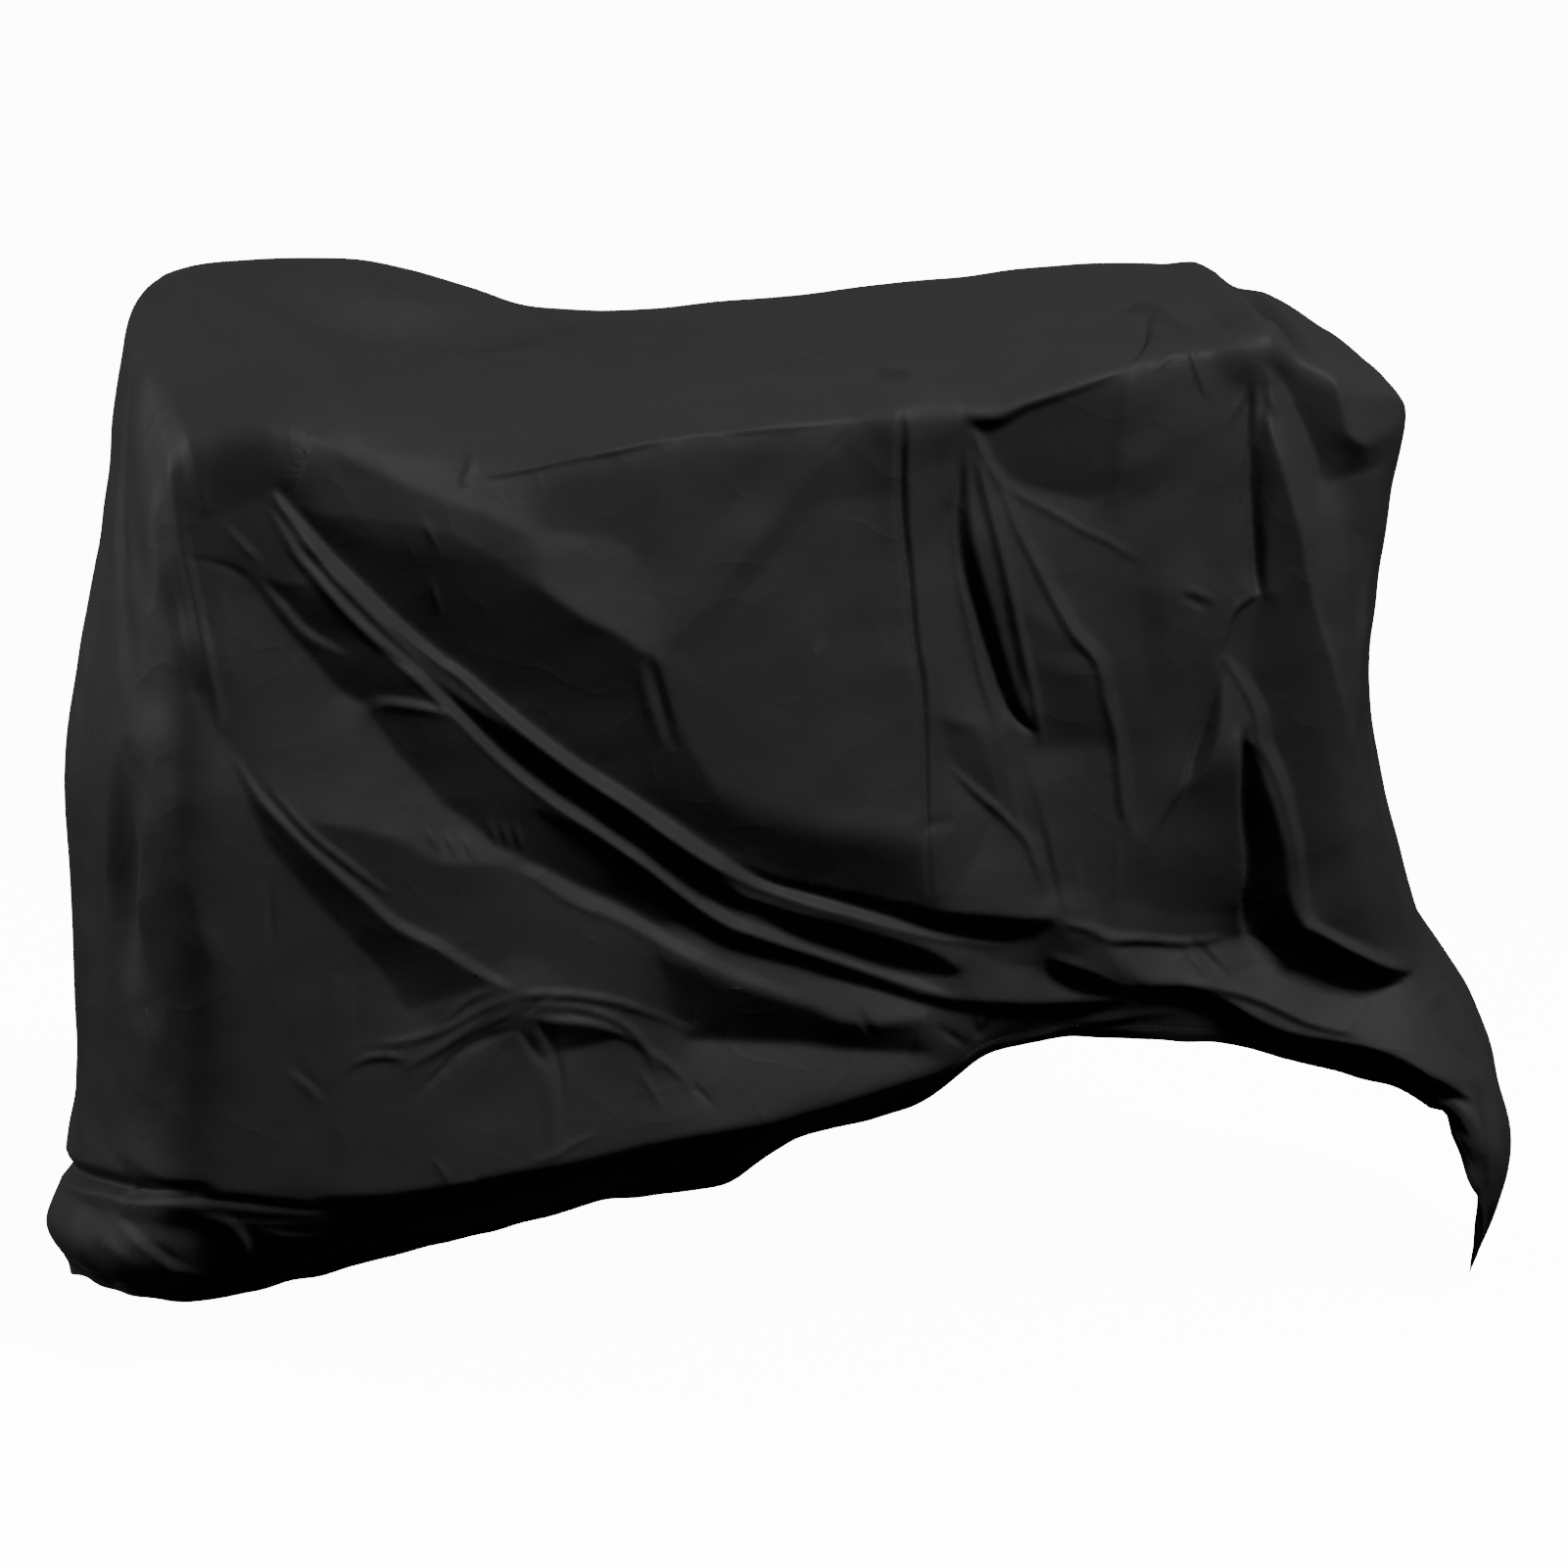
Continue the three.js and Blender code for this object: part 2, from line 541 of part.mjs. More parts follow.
function foldList() {
  return FOLDS.rows.map((row) => {
    const fold = named(FOLDS, row);
    fold.steps = drawnPath(fold.path);
    const reach = Math.max(fold.left, fold.right);
    fold.box = new THREE.Box3().setFromPoints(fold.steps).expandByScalar(reach);
    return fold;
  });
}

// The cloth with all its folds, on the fine net
function foldedCloth({ places, triangles }) {
  const rounded = roundedTent();
  const points = places.map(([first, second]) => rounded(first, second));
  const outward = outwardOf(points, triangles);
  const folds = foldList();
  const peaks = PEAKS.rows.map((row) => named(PEAKS, row));
  const slopes = SLOPES.rows.map((row) => named(SLOPES, row));
  return points.map((point, index) => {
    let lift = 0;
    for (const fold of folds) {
      const face = FACES[fold.face];
      const first = point[face.first];
      const second = point[face.second];
      if (first < fold.box.min.x || first > fold.box.max.x) continue;
      if (second < fold.box.min.y || second > fold.box.max.y) continue;
      const facing = smooth(FACING.none, FACING.full, outward[index].dot(face.looks));
      if (facing > 0) lift += facing * liftOf(fold, first, second);
    }
    for (const slope of slopes) lift += slopeLift(slope, point);
    const raised = point.clone().addScaledVector(outward[index], lift);
    for (const peak of peaks) {
      const away = Math.hypot(point.x - peak.x, point.y - peak.y, point.z - peak.z) / peak.radius;
      if (away < 1) raised.addScaledVector(outward[index], peak.height * (1 - away * away) ** 2);
    }
    return raised;
  });
}

// A queue that always gives the cheapest entry first
class Queue {
  entries = [];

  push(entry) {
    const { entries } = this;
    let place = entries.length;
    entries.push(entry);
    while (place > 0) {
      const above = (place - 1) >> 1;
      if (entries[above].cost <= entry.cost) break;
      entries[place] = entries[above];
      place = above;
    }
    entries[place] = entry;
  }

  pop() {
    const { entries } = this;
    const first = entries[0];
    const last = entries.pop();
    if (entries.length === 0) return first;
    let place = 0;
    for (;;) {
      let below = 2 * place + 1;
      if (below >= entries.length) break;
      if (below + 1 < entries.length && entries[below + 1].cost < entries[below].cost) below += 1;
      if (entries[below].cost >= last.cost) break;
      entries[place] = entries[below];
      place = below;
    }
    entries[place] = last;
    return first;
  }
}

// Thins a fine surface. Each point keeps the sum of squared distances to the planes that it
// stands for, as xx, xy, xz, x, yy, yz, y, zz, z and 1. The edge that can shrink to one point
// with the least sum goes first, and that point lies where the sum is least.
class Thinning {
  constructor(points, triangles, detail) {
    this.points = points;
    this.outward = outwardOf(points, triangles);
    this.detail = detail;
    this.faces = triangles;
    this.around = points.map(() => new Set());
    this.planes = points.map(() => new Float64Array(10));
    this.changed = new Uint32Array(points.length);
    this.queue = new Queue();
    this.left = this.faces.length;
    this.faces.forEach((face, index) => face.forEach((point) => this.around[point].add(index)));
    this.faces.forEach((face) => this.addFacePlane(face));
    this.faces.forEach((face) => this.addRimPlanes(face));
    points.forEach((_, point) => this.neighbours(point).forEach((other) => {
      if (other > point) this.offer(point, other);
    }));
  }

  normalOf([one, two, three]) {
    return two.clone().sub(one).cross(three.clone().sub(one));
  }

  cornersOf(face) {
    return face.map((point) => this.points[point]);
  }

  addPlane(point, normal, through, weight) {
    const plane = [normal.x, normal.y, normal.z, -normal.dot(through)];
    let index = 0;
    for (let row = 0; row < 4; row += 1) {
      for (let column = row; column < 4; column += 1) {
        this.planes[point][index] += weight * plane[row] * plane[column];
        index += 1;
      }
    }
  }

  addFacePlane(face) {
    const normal = this.normalOf(this.cornersOf(face));
    const area = normal.length() / 2;
    normal.normalize();
    for (const point of face) {
      this.addPlane(point, normal, this.points[point], (area * this.detail[point]) / 3);
    }
  }

  // The rim keeps its line by planes that stand on it
  addRimPlanes(face) {
    face.forEach((from, corner) => {
      const to = face[(corner + 1) % 3];
      if (this.shared(from, to) > 1) return;
      const run = this.points[to].clone().sub(this.points[from]);
      const across = run.clone().cross(this.normalOf(this.cornersOf(face))).normalize();
      this.addPlane(from, across, this.points[from], run.lengthSq());
      this.addPlane(to, across, this.points[from], run.lengthSq());
    });
  }

  shared(one, other) {
    let count = 0;
    this.around[one].forEach((face) => {
      if (this.around[other].has(face)) count += 1;
    });
    return count;
  }

  neighbours(point) {
    const found = new Set();
    this.around[point].forEach((face) => this.faces[face].forEach((other) => found.add(other)));
    found.delete(point);
    return found;
  }

  onRim(point) {
    return this.neighbours(point).size !== this.around[point].size;
  }

  // Where the edge shrinks to, held to its middle by a light spring, and what that costs
  offer(one, other) {
    const sum = this.planes[one].map((value, index) => value + this.planes[other][index]);
    const [xx, xy, xz, x1, yy, yz, y1, zz, z1, unit] = sum;
    const middle = this.points[one].clone().lerp(this.points[other], 0.5);
    const spring = SPRING * (xx + yy + zz);
    const pull = new THREE.Matrix3(xx + spring, xy, xz, xy, yy + spring, yz, xz, yz, zz + spring);
    const place = middle.clone().multiplyScalar(spring).sub(new THREE.Vector3(x1, y1, z1));
    place.applyMatrix3(pull.invert());
    const { x, y, z } = place;
    const stray = xx * x * x + 2 * xy * x * y + 2 * xz * x * z + 2 * x1 * x
      + yy * y * y + 2 * yz * y * z + 2 * y1 * y + zz * z * z + 2 * z1 * z + unit;
    const length = this.points[one].distanceToSquared(this.points[other]);
    this.queue.push({
      one, other, place, cost: stray + EVENNESS * length, stamps: [this.changed[one], this.changed[other]],
    });
  }

  // A shrunk edge must leave one sheet, with no face turned over or drawn to a sliver
  allowed(one, other, place) {
    const wings = this.shared(one, other);
    if (wings === 0) return false;
    const near = this.neighbours(other);
    const common = [...this.neighbours(one)].filter((point) => near.has(point)).length;
    if (common !== wings) return false;
    if (wings === 2 && this.onRim(one) && this.onRim(other)) return false;
    return [[one, other], [other, one]].every(([moved, gone]) => [...this.around[moved]].every((index) => {
      const face = this.faces[index];
      if (face.includes(gone)) return true;
      const corners = face.map((point) => (point === moved ? place : this.points[point]));
      const before = this.normalOf(this.cornersOf(face));
      const after = this.normalOf(corners);
      const sides = corners.map((corner, step) => corner.distanceToSquared(corners[(step + 1) % 3]));
      return after.dot(before) > LEAST_TURN * after.length() * before.length()
        && after.length() > LEAST_BREADTH * Math.max(...sides);
    }));
  }

  shrink(one, other, place) {
    const toOne = place.distanceTo(this.points[one]);
    const share = toOne / (toOne + place.distanceTo(this.points[other]));
    this.outward[one].lerp(this.outward[other], share).normalize();
    this.points[one] = place;
    this.planes[other].forEach((value, index) => { this.planes[one][index] += value; });
    for (const index of this.around[other]) {
      const face = this.faces[index];
      if (face.includes(one)) {
        face.forEach((point) => this.around[point].delete(index));
        this.faces[index] = null;
        this.left -= 1;
      } else {
        face[face.indexOf(other)] = one;
        this.around[one].add(index);
      }
    }
    const ring = this.neighbours(one);
    this.changed[other] += 1;
    this.changed[one] += 1;
    ring.forEach((point) => { this.changed[point] += 1; });
    ring.forEach((point) => {
      this.neighbours(point).forEach((third) => {
        if (!ring.has(third) || third > point) this.offer(point, third);
      });
    });
  }

  to(count) {
    while (this.left > count) {
      const { one, other, place, stamps } = this.queue.pop();
      const fresh = stamps[0] === this.changed[one] && stamps[1] === this.changed[other];
      if (fresh && this.allowed(one, other, place)) this.shrink(one, other, place);
    }
    this.faces = this.faces.filter((face) => face !== null);
    return this;
  }
}

// A closed sheet: the outer face, the same face moved in by the cloth's thickness, and a rim
function sheetGeometry({ points, outward, faces: triangles }) {
  const order = new Map();
  triangles.flat().forEach((index) => {
    if (!order.has(index)) order.set(index, order.size);
  });
  const count = order.size;
  const positions = new Float32Array(count * 6);
  order.forEach((place, index) => {
    points[index].toArray(positions, place * 3);
    points[index].clone().addScaledVector(outward[index], -CLOTH_THICKNESS)
      .toArray(positions, (count + place) * 3);
  });
  const faces = [];
  const open = new Map();
  for (const triangle of triangles) {
    const [one, two, three] = triangle.map((index) => order.get(index));
    faces.push(one, two, three, count + one, count + three, count + two);
    for (const [from, to] of [[one, two], [two, three], [three, one]]) {
      if (!open.delete(`${to} ${from}`)) open.set(`${from} ${to}`, [from, to]);
    }
  }
  open.forEach(([from, to]) => {
    faces.push(to, from, count + from, to, count + from, count + to);
  });
  const geometry = new THREE.BufferGeometry();
  geometry.setAttribute('position', new THREE.BufferAttribute(positions, 3));
  geometry.setIndex(faces);
  geometry.computeVertexNormals();
  return geometry;
}

function coverCloth() {
  const net = fineNet();
  const points = foldedCloth(net);
  const detail = net.faces.map((face) => DETAIL[face]);
  const material = new THREE.MeshStandardMaterial({
    color: CLOTH_COLOUR,
    roughness: CLOTH_ROUGHNESS,
    metalness: 0,
  });
  const thinned = new Thinning(points, net.triangles, detail).to(TRIANGLES);
  const mesh = new THREE.Mesh(sheetGeometry(thinned), material);
  mesh.name = 'cover_cloth';
  return mesh;
}

// The cover stands over the origin: its box is centred there and starts at height 0
function centred(mesh) {
  mesh.geometry.computeBoundingBox();
  const box = mesh.geometry.boundingBox;
  const middle = box.getCenter(new THREE.Vector3());
  mesh.position.set(-middle.x, -middle.y, -box.min.z);
  return mesh;
}

const cover = new THREE.Group();
cover.add(centred(coverCloth()));

export default cover;
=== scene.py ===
# %% [markdown]
# # A cover for a motor scooter, draped and hollow
#
# The object is one thin black cloth, sewn as a long hood and pulled over a vehicle that is
# left out. The hood keeps the shape that the thing beneath gave it: two raised ends, a
# sagging middle, and long folds that run from the front shoulder down to the low hem.
# This lesson draws that cloth as one surface, adds its folds and creases from short tables,
# sews its hem, and gives it the finish of a smooth coated cloth. The tables are written in
# millimetres, and Blender works in metres.

import bmesh
import bpy
import numpy as np
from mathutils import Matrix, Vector


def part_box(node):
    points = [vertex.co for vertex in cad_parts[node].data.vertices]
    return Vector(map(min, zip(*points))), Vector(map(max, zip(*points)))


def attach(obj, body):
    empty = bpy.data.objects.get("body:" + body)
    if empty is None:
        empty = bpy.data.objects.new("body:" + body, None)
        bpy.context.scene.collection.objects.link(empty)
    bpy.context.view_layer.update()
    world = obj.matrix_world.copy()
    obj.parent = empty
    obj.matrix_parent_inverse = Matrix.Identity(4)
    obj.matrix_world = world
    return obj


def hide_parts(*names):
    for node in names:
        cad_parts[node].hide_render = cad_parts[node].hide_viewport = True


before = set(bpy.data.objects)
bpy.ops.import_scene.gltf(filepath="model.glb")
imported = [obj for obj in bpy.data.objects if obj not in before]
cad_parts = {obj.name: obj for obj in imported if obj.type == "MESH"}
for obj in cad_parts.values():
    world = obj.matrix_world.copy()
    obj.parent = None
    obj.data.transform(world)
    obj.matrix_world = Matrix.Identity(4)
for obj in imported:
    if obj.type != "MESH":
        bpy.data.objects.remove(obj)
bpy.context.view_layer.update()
print("nodes:", list(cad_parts))

# %% [markdown]
# ## The camera
#
# The picture was taken from far away with a long lens, so parallel edges stay parallel. The
# cover is seen from its near side, turned 12 degrees towards its front end and 13 degrees from
# above. A camera without perspective would come close, but a long lens on a distant camera
# keeps the last bit of narrowing. The lens follows from how wide the picture is at the cover.

# %% The camera at the photograph's angle
CAMERA_TURN, CAMERA_RISE = np.radians(-12.0), np.radians(13.0)
CAMERA_DISTANCE, CAMERA_SEES = 12.0, 60.0
PICTURE_WIDTH = 1.8255
AIM = Vector((0.012, 0.017, 0.5954))


def new_object(name, data):
    made = bpy.data.objects.new(name, data)
    bpy.context.scene.collection.objects.link(made)
    return made


def looking_back(direction):
    return direction.to_track_quat("Z", "Y").to_euler()


towards = Vector((
    np.sin(CAMERA_TURN) * np.cos(CAMERA_RISE),
    -np.cos(CAMERA_TURN) * np.cos(CAMERA_RISE),
    np.sin(CAMERA_RISE),
))
camera = new_object("camera", bpy.data.cameras.new("camera"))
camera.location = AIM + towards * CAMERA_DISTANCE
camera.rotation_euler = looking_back(towards)
camera.data.lens = camera.data.sensor_width * CAMERA_DISTANCE / PICTURE_WIDTH
camera.data.clip_end = CAMERA_SEES
bpy.context.scene.camera = camera
print("lens:", round(camera.data.lens, 1), "mm")

# %% [markdown]
# ## The studio
#
# Black cloth shows its form only by how each facet catches the light, so the lamps matter more
# than the cloth's colour. One soft lamp stands high at the front right: it lights the facets that
# look up or to the right and leaves the undercuts of the folds black. A wide lamp at the far left
# lifts the front end, two weak ones fill the rest, and the room adds a dim white from above. The
# floor is pale because it glows, and that glow is kept off the cloth. A lit white floor could
# stand in for it, but its light would fill the dark folds from below.

# %% The floor and its turned-up rim
SWEEP_RADIUS, SWEEP_HEIGHT, SWEEP_SIDES = 20.0, 14.0, 64
SWEEP_COLOUR, SWEEP_ROUGHNESS, SWEEP_GLOW = (0.9, 0.9, 0.9, 1.0), 0.9, 12.0
WHITE = (1.0, 1.0, 1.0, 1.0)


def new_material(name, **values):
    material = bpy.data.materials.new(name)
    material.use_nodes = True
    inputs = material.node_tree.nodes["Principled BSDF"].inputs
    for key, value in values.items():
        inputs[key.replace("_", " ")].default_value = value
    return material


def sweep():
    built = bmesh.new()
    bmesh.ops.create_circle(built, cap_ends=True, radius=SWEEP_RADIUS, segments=SWEEP_SIDES)
    open_edges = [edge for edge in built.edges if edge.is_boundary]
    rim = bmesh.ops.extrude_edge_only(built, edges=open_edges)
    risen = [part for part in rim["geom"] if isinstance(part, bmesh.types.BMVert)]
    bmesh.ops.translate(built, verts=risen, vec=(0, 0, SWEEP_HEIGHT))
    mesh = bpy.data.meshes.new("floor")
    built.to_mesh(mesh)
    built.free()
    mesh.materials.append(new_material(
        "pale floor", Base_Color=SWEEP_COLOUR, Roughness=SWEEP_ROUGHNESS,
        Emission_Color=WHITE, Emission_Strength=SWEEP_GLOW,
    ))
    made = new_object("floor", mesh)
    made.visible_diffuse = made.visible_glossy = made.visible_shadow = False


sweep()
print("floor:", 2 * SWEEP_RADIUS, "m across, with a rim of", SWEEP_HEIGHT, "m")

# %% [markdown]
# ## Nodes written as sums
#
# The room's light, the stitches and both finishes are built from nodes. They could be placed
# and wired one by one, but a small class lets a sum of patterns be written as a sum: it wraps
# one socket of a tree, its operators add Math nodes, and every other node comes from its one
# method node, which takes the kind, the settings and what each socket is given.

# %% Sockets that can be added, multiplied and led into nodes
def port(ports, key):
    return next(port for port in ports if key in (port.identifier, port.name.replace(" ", "_")))


class Socket:
    def __init__(self, tree, socket=None):
        self.tree, self.socket = tree, socket

    def into(self, target):
        self.tree.links.new(self.socket, target)

    def node(self, kind, settings=(), output=None, **sockets):
        made = self.tree.nodes.new(kind)
        for key, value in dict(settings).items():
            setattr(made, key, value)
        for key, value in sockets.items():
            if isinstance(value, Socket):
                value.into(port(made.inputs, key))
            else:
                port(made.inputs, key).default_value = value
        if made.outputs:
            return Socket(self.tree, port(made.outputs, output) if output else made.outputs[0])

    def maths(self, operation, first, second=0.0):
        return self.node("ShaderNodeMath", {"operation": operation}, Value=first, Value_001=second)

    def __add__(self, other):
        return self.maths("ADD", self, other)

    def __radd__(self, other):
        return self.maths("ADD", other, self)

    def __sub__(self, other):
        return self.maths("SUBTRACT", self, other)

    def __rsub__(self, other):
        return self.maths("SUBTRACT", other, self)

    def __mul__(self, other):
        return self.maths("MULTIPLY", self, other)

    def __rmul__(self, other):
        return self.maths("MULTIPLY", other, self)

    def __pow__(self, other):
        return self.maths("POWER", self, other)

    def __rpow__(self, other):
        return self.maths("POWER", other, self)

    def __abs__(self):
        return self.maths("ABSOLUTE", self)


print("the class of a socket has", sum(callable(part) for part in vars(Socket).values()), "methods")

# %% The light of the room and the lamps: name, place, size, power
ROOM_ABOVE, ROOM_BELOW = 0.20, 0.03
ROOM_FADE = (-0.25, 0.35)
LAMPS = (
    ("front lamp", (2.1, -4.1, 6.5), 2.0, 1250.0),
    ("overhead lamp", (-0.6, 0.3, 4.0), 3.0, 10.0),
    ("left lamp", (-4.5, 1.6, 2.0), 2.0, 260.0),
    ("right lamp", (4.0, -0.6, 1.8), 2.0, 20.0),
)


def room_light():
    world = bpy.data.worlds.new("studio")
    bpy.context.scene.world = world
    world.use_nodes = True
    behind = world.node_tree.nodes["Background"].inputs
    behind["Color"].default_value = WHITE
    start = Socket(world.node_tree)
    direction = start.node("ShaderNodeTexCoord", output="Generated")
    start.node(
        "ShaderNodeMapRange", {"interpolation_type": "SMOOTHSTEP"},
        Value=start.node("ShaderNodeSeparateXYZ", output="Z", Vector=direction),
        From_Min=ROOM_FADE[0], From_Max=ROOM_FADE[1], To_Min=ROOM_BELOW, To_Max=ROOM_ABOVE,
    ).into(behind["Strength"])


def lamp(name, place, size, power):
    data = bpy.data.lights.new(name, "AREA")
    data.shape = "DISK"
    data.size = size
    data.energy = power
    made = new_object(name, data)
    made.location = place
    made.rotation_euler = looking_back(Vector(place) - AIM)


room_light()
for row in LAMPS:
    lamp(*row)
print("lamps:", {name: power for name, _, _, power in LAMPS}, "in watts")

# %% [markdown]
# ## The hood before its folds
#
# A cover could be sewn from flat panels and dropped by a cloth simulation, but its folds would
# then fall where they like. It is easier to draw as a flat square that is pushed up in its
# middle: the middle is the top, the rim is the hem, and the four triangles between them are
# the walls. Tables say how long and wide the hood is at each height, where its top edges run,
# and how far its hem hangs down. A smooth curve through a table's rows gives every place
# between them.

# %% The sizes at each height: z, front, back, half width, bulge of the ends, corner radius
MM = 0.001
PROFILE = (
    (1130, -733, 684, 254, 6, 60), (1030, -750, 694, 267, 12, 70), (945, -758, 678, 272, 16, 75),
    (845, -771, 658, 278, 20, 80), (760, -785, 646, 282, 22, 85), (630, -802, 644, 288, 24, 90),
    (510, -799, 668, 292, 26, 95), (395, -796, 702, 294, 28, 100), (300, -797, 757, 296, 30, 105),
    (210, -805, 812, 299, 30, 110), (135, -824, 838, 302, 28, 115), (60, -822, 822, 300, 26, 120),
    (-20, -800, 792, 292, 24, 120),
)
print("heights from", PROFILE[-1][0], "to", PROFILE[0][0], "mm")

# %% The top edges: x, z
TOP_EDGE = {
    "near": (
        (-700, 1058), (-650, 1090), (-605, 1092), (-540, 1052), (-480, 1020), (-400, 1010),
        (-190, 1036), (-40, 1048), (70, 1054), (155, 1044), (230, 1068), (335, 1098),
        (430, 1110), (520, 1112), (600, 1062), (672, 1032),
    ),
    "far": (
        (-720, 1136), (-665, 1158), (-580, 1166), (-430, 1160), (-350, 1134), (-220, 1090),
        (10, 1093), (145, 1103), (360, 1117), (455, 1121), (520, 1116), (565, 1108),
        (615, 1088), (655, 1067), (690, 1046),
    ),
}
print("top edges at most", [max(z for _, z in rows) for rows in TOP_EDGE.values()], "mm high")

# %% The hem of the sides, as x, z, height of its roll, depth of its tuck; of the ends, as y, lift
HEM = {
    "near": (
        (-820, 34, 150, 50), (-735, 34, 150, 60), (-580, 58, 110, 70), (-460, 80, 95, 70),
        (-360, 98, 90, 70), (-260, 124, 85, 65), (-120, 140, 80, 60), (-60, 188, 60, 45),
        (100, 226, 60, 45), (180, 284, 40, 30), (290, 304, 40, 30), (395, 299, 40, 30),
        (490, 289, 40, 30), (605, 250, 40, 30), (694, 208, 50, 30), (730, 120, 60, 25),
        (800, -34, 60, 20),
    ),
    "far": (
        (-820, 40, 90, 50), (-500, 48, 90, 50), (-200, 62, 80, 50), (0, 100, 70, 45),
        (200, 165, 60, 40), (400, 232, 50, 35), (600, 232, 50, 35), (720, 185, 50, 35),
        (800, 150, 50, 30),
    ),
}
END_HEM = {
    "front": ((-295, 0), (-120, -4), (0, -16), (107, -28), (220, -14), (295, 0)),
    "back": ((-295, 0), (-200, 20), (-100, 52), (0, 52), (295, 0)),
}
near_hem = [z for _, z, _, _ in HEM["near"]]
print("the near hem hangs between", min(near_hem), "and", max(near_hem), "mm")

# %% A table's columns as smooth curves
def mix(start, end, share):
    return start + (end - start) * share


def smooth(low, high, value):
    share = np.clip((value - low) / (high - low), 0, 1)
    return share * share * (3 - 2 * share)


def curve_weights(share):
    square, cube = share**2, share**3
    return (
        2 * cube - 3 * square + 1,
        cube - 2 * square + share,
        3 * square - 2 * cube,
        cube - square,
    )


def curve_through(keys, values):
    steps = np.arange(len(keys))
    before, after = np.maximum(steps - 1, 0), np.minimum(steps + 1, len(keys) - 1)
    slopes = (values[after] - values[before]) / (keys[after] - keys[before])

    def read(at):
        place = np.clip(at, keys[0], keys[-1])
        step = np.clip(np.searchsorted(keys, place) - 1, 0, len(keys) - 2)
        span = keys[step + 1] - keys[step]
        start, leave, end, arrive = curve_weights((place - keys[step]) / span)
        return (
            start * values[step] + leave * slopes[step] * span
            + end * values[step + 1] + arrive * slopes[step + 1] * span
        )

    return read


def curves_of(rows, *names):
    table = np.array(sorted(rows), float).T
    return {name: curve_through(table[0], values) for name, values in zip(names, table[1:])}


profile = curves_of(PROFILE, "front", "back", "half", "bulge", "corner")
top_edge = {side: curves_of(rows, "z")["z"] for side, rows in TOP_EDGE.items()}
hem = {side: curves_of(rows, "z", "roll", "tuck") for side, rows in HEM.items()}
end_hem = {end: curves_of(rows, "lift")["lift"] for end, rows in END_HEM.items()}
print("the hem hangs at", round(float(hem["near"]["z"](0.0))), "mm half way along the near side")

# %% [markdown]
# ## Walls, top and the rounding of the edges
#
# Each wall is a sheet between the top edge and the hem. Near its corners it turns round, and
# above the hem it is drawn in, because elastic gathers it there. The top is stretched between
# the four top edges. Bevels could round those edges one by one, but a spline laid over a coarse
# net of these places rounds them all at once, the way that taut cloth does. The front shoulder
# is rounder still, so there each knot of the net is first drawn towards its neighbours.

# %% The four walls
TOP_ENDS, HEM_ENDS = (-728, 688), (-820, 800)
END_HALF, END_LIFT_STARTS = 295, 0.35


def side_wall(side, share, fall):
    top = top_edge[side](mix(*TOP_ENDS, share))
    at_hem = mix(*HEM_ENDS, share)
    low, roll, tuck = (hem[side][column](at_hem) for column in ("z", "roll", "tuck"))
    z = mix(top, low, fall)
    front, back, radius = (profile[column](z) for column in ("front", "back", "corner"))
    rolled = np.clip((low + roll - z) / roll, 0, 1)
    short = np.maximum(radius - np.minimum(share, 1 - share) * (back - front), 0)
    inset = radius - np.sqrt(radius**2 - short**2)
    out = profile["half"](z) - inset - tuck * rolled**2
    return np.stack([mix(front, back, share), -out if side == "near" else out, z], -1)


def end_wall(end, share, fall):
    corner, outward = (0.0, -1) if end == "front" else (1.0, 1)
    near, far = (side_wall(side, np.full_like(fall, corner), fall) for side in ("near", "far"))
    point = mix(near, far, share[..., None])
    hem_lift = end_hem[end](mix(-END_HALF, END_HALF, share))
    point[..., 2] += hem_lift * smooth(END_LIFT_STARTS, 1, fall)
    point[..., 0] += outward * profile["bulge"](point[..., 2]) * np.sin(np.pi * share)
    return point


middle_of_wall = side_wall("near", np.array(0.5), np.array(0.5))
print("the middle of the near wall is at", middle_of_wall.round().tolist(), "mm")

# %% The top, and the whole hood as a function of a place on the flat square
TOP_SHARE = 0.375
TINY = 1e-9


def top(along, across):
    level = np.zeros_like(along)
    over = across[..., None]
    sides = mix(side_wall("near", along, level), side_wall("far", along, level), over)
    ends = mix(end_wall("front", across, level), end_wall("back", across, level), along[..., None])
    corners = [
        mix(side_wall("near", level + end, level), side_wall("far", level + end, level), over)
        for end in (0.0, 1.0)
    ]
    return sides + ends - mix(*corners, along[..., None])


def tent(first, second):
    reach = np.maximum(np.maximum(abs(first), abs(second)), TINY)
    fall = np.clip((reach - TOP_SHARE) / (1 - TOP_SHARE), 0, 1)
    along_side, along_end = (first / reach + 1) / 2, (second / reach + 1) / 2
    on_top = (reach <= TOP_SHARE)[..., None]
    on_side = (abs(second) >= abs(first))[..., None]
    near, far = (side_wall(side, along_side, fall) for side in ("near", "far"))
    front, back = (end_wall(end, along_end, fall) for end in ("front", "back"))
    sides = np.where((second < 0)[..., None], near, far)
    ends = np.where((first < 0)[..., None], front, back)
    middle = top(*((np.clip(place / TOP_SHARE, -1, 1) + 1) / 2 for place in (first, second)))
    return np.where(on_top, middle, np.where(on_side, sides, ends))


centre = tent(np.zeros(1), np.zeros(1))[0]
print("the middle of the top is", round(float(centre[2])), "mm high")

# %% Round the edges, and the front shoulder more broadly, where no edge shows
NET = 64
EASED_PLACE, EASED_NEAR, EASED_FAR = (-560.0, -250.0, 1050.0), 130.0, 300.0
EASED_ROUNDS = 5


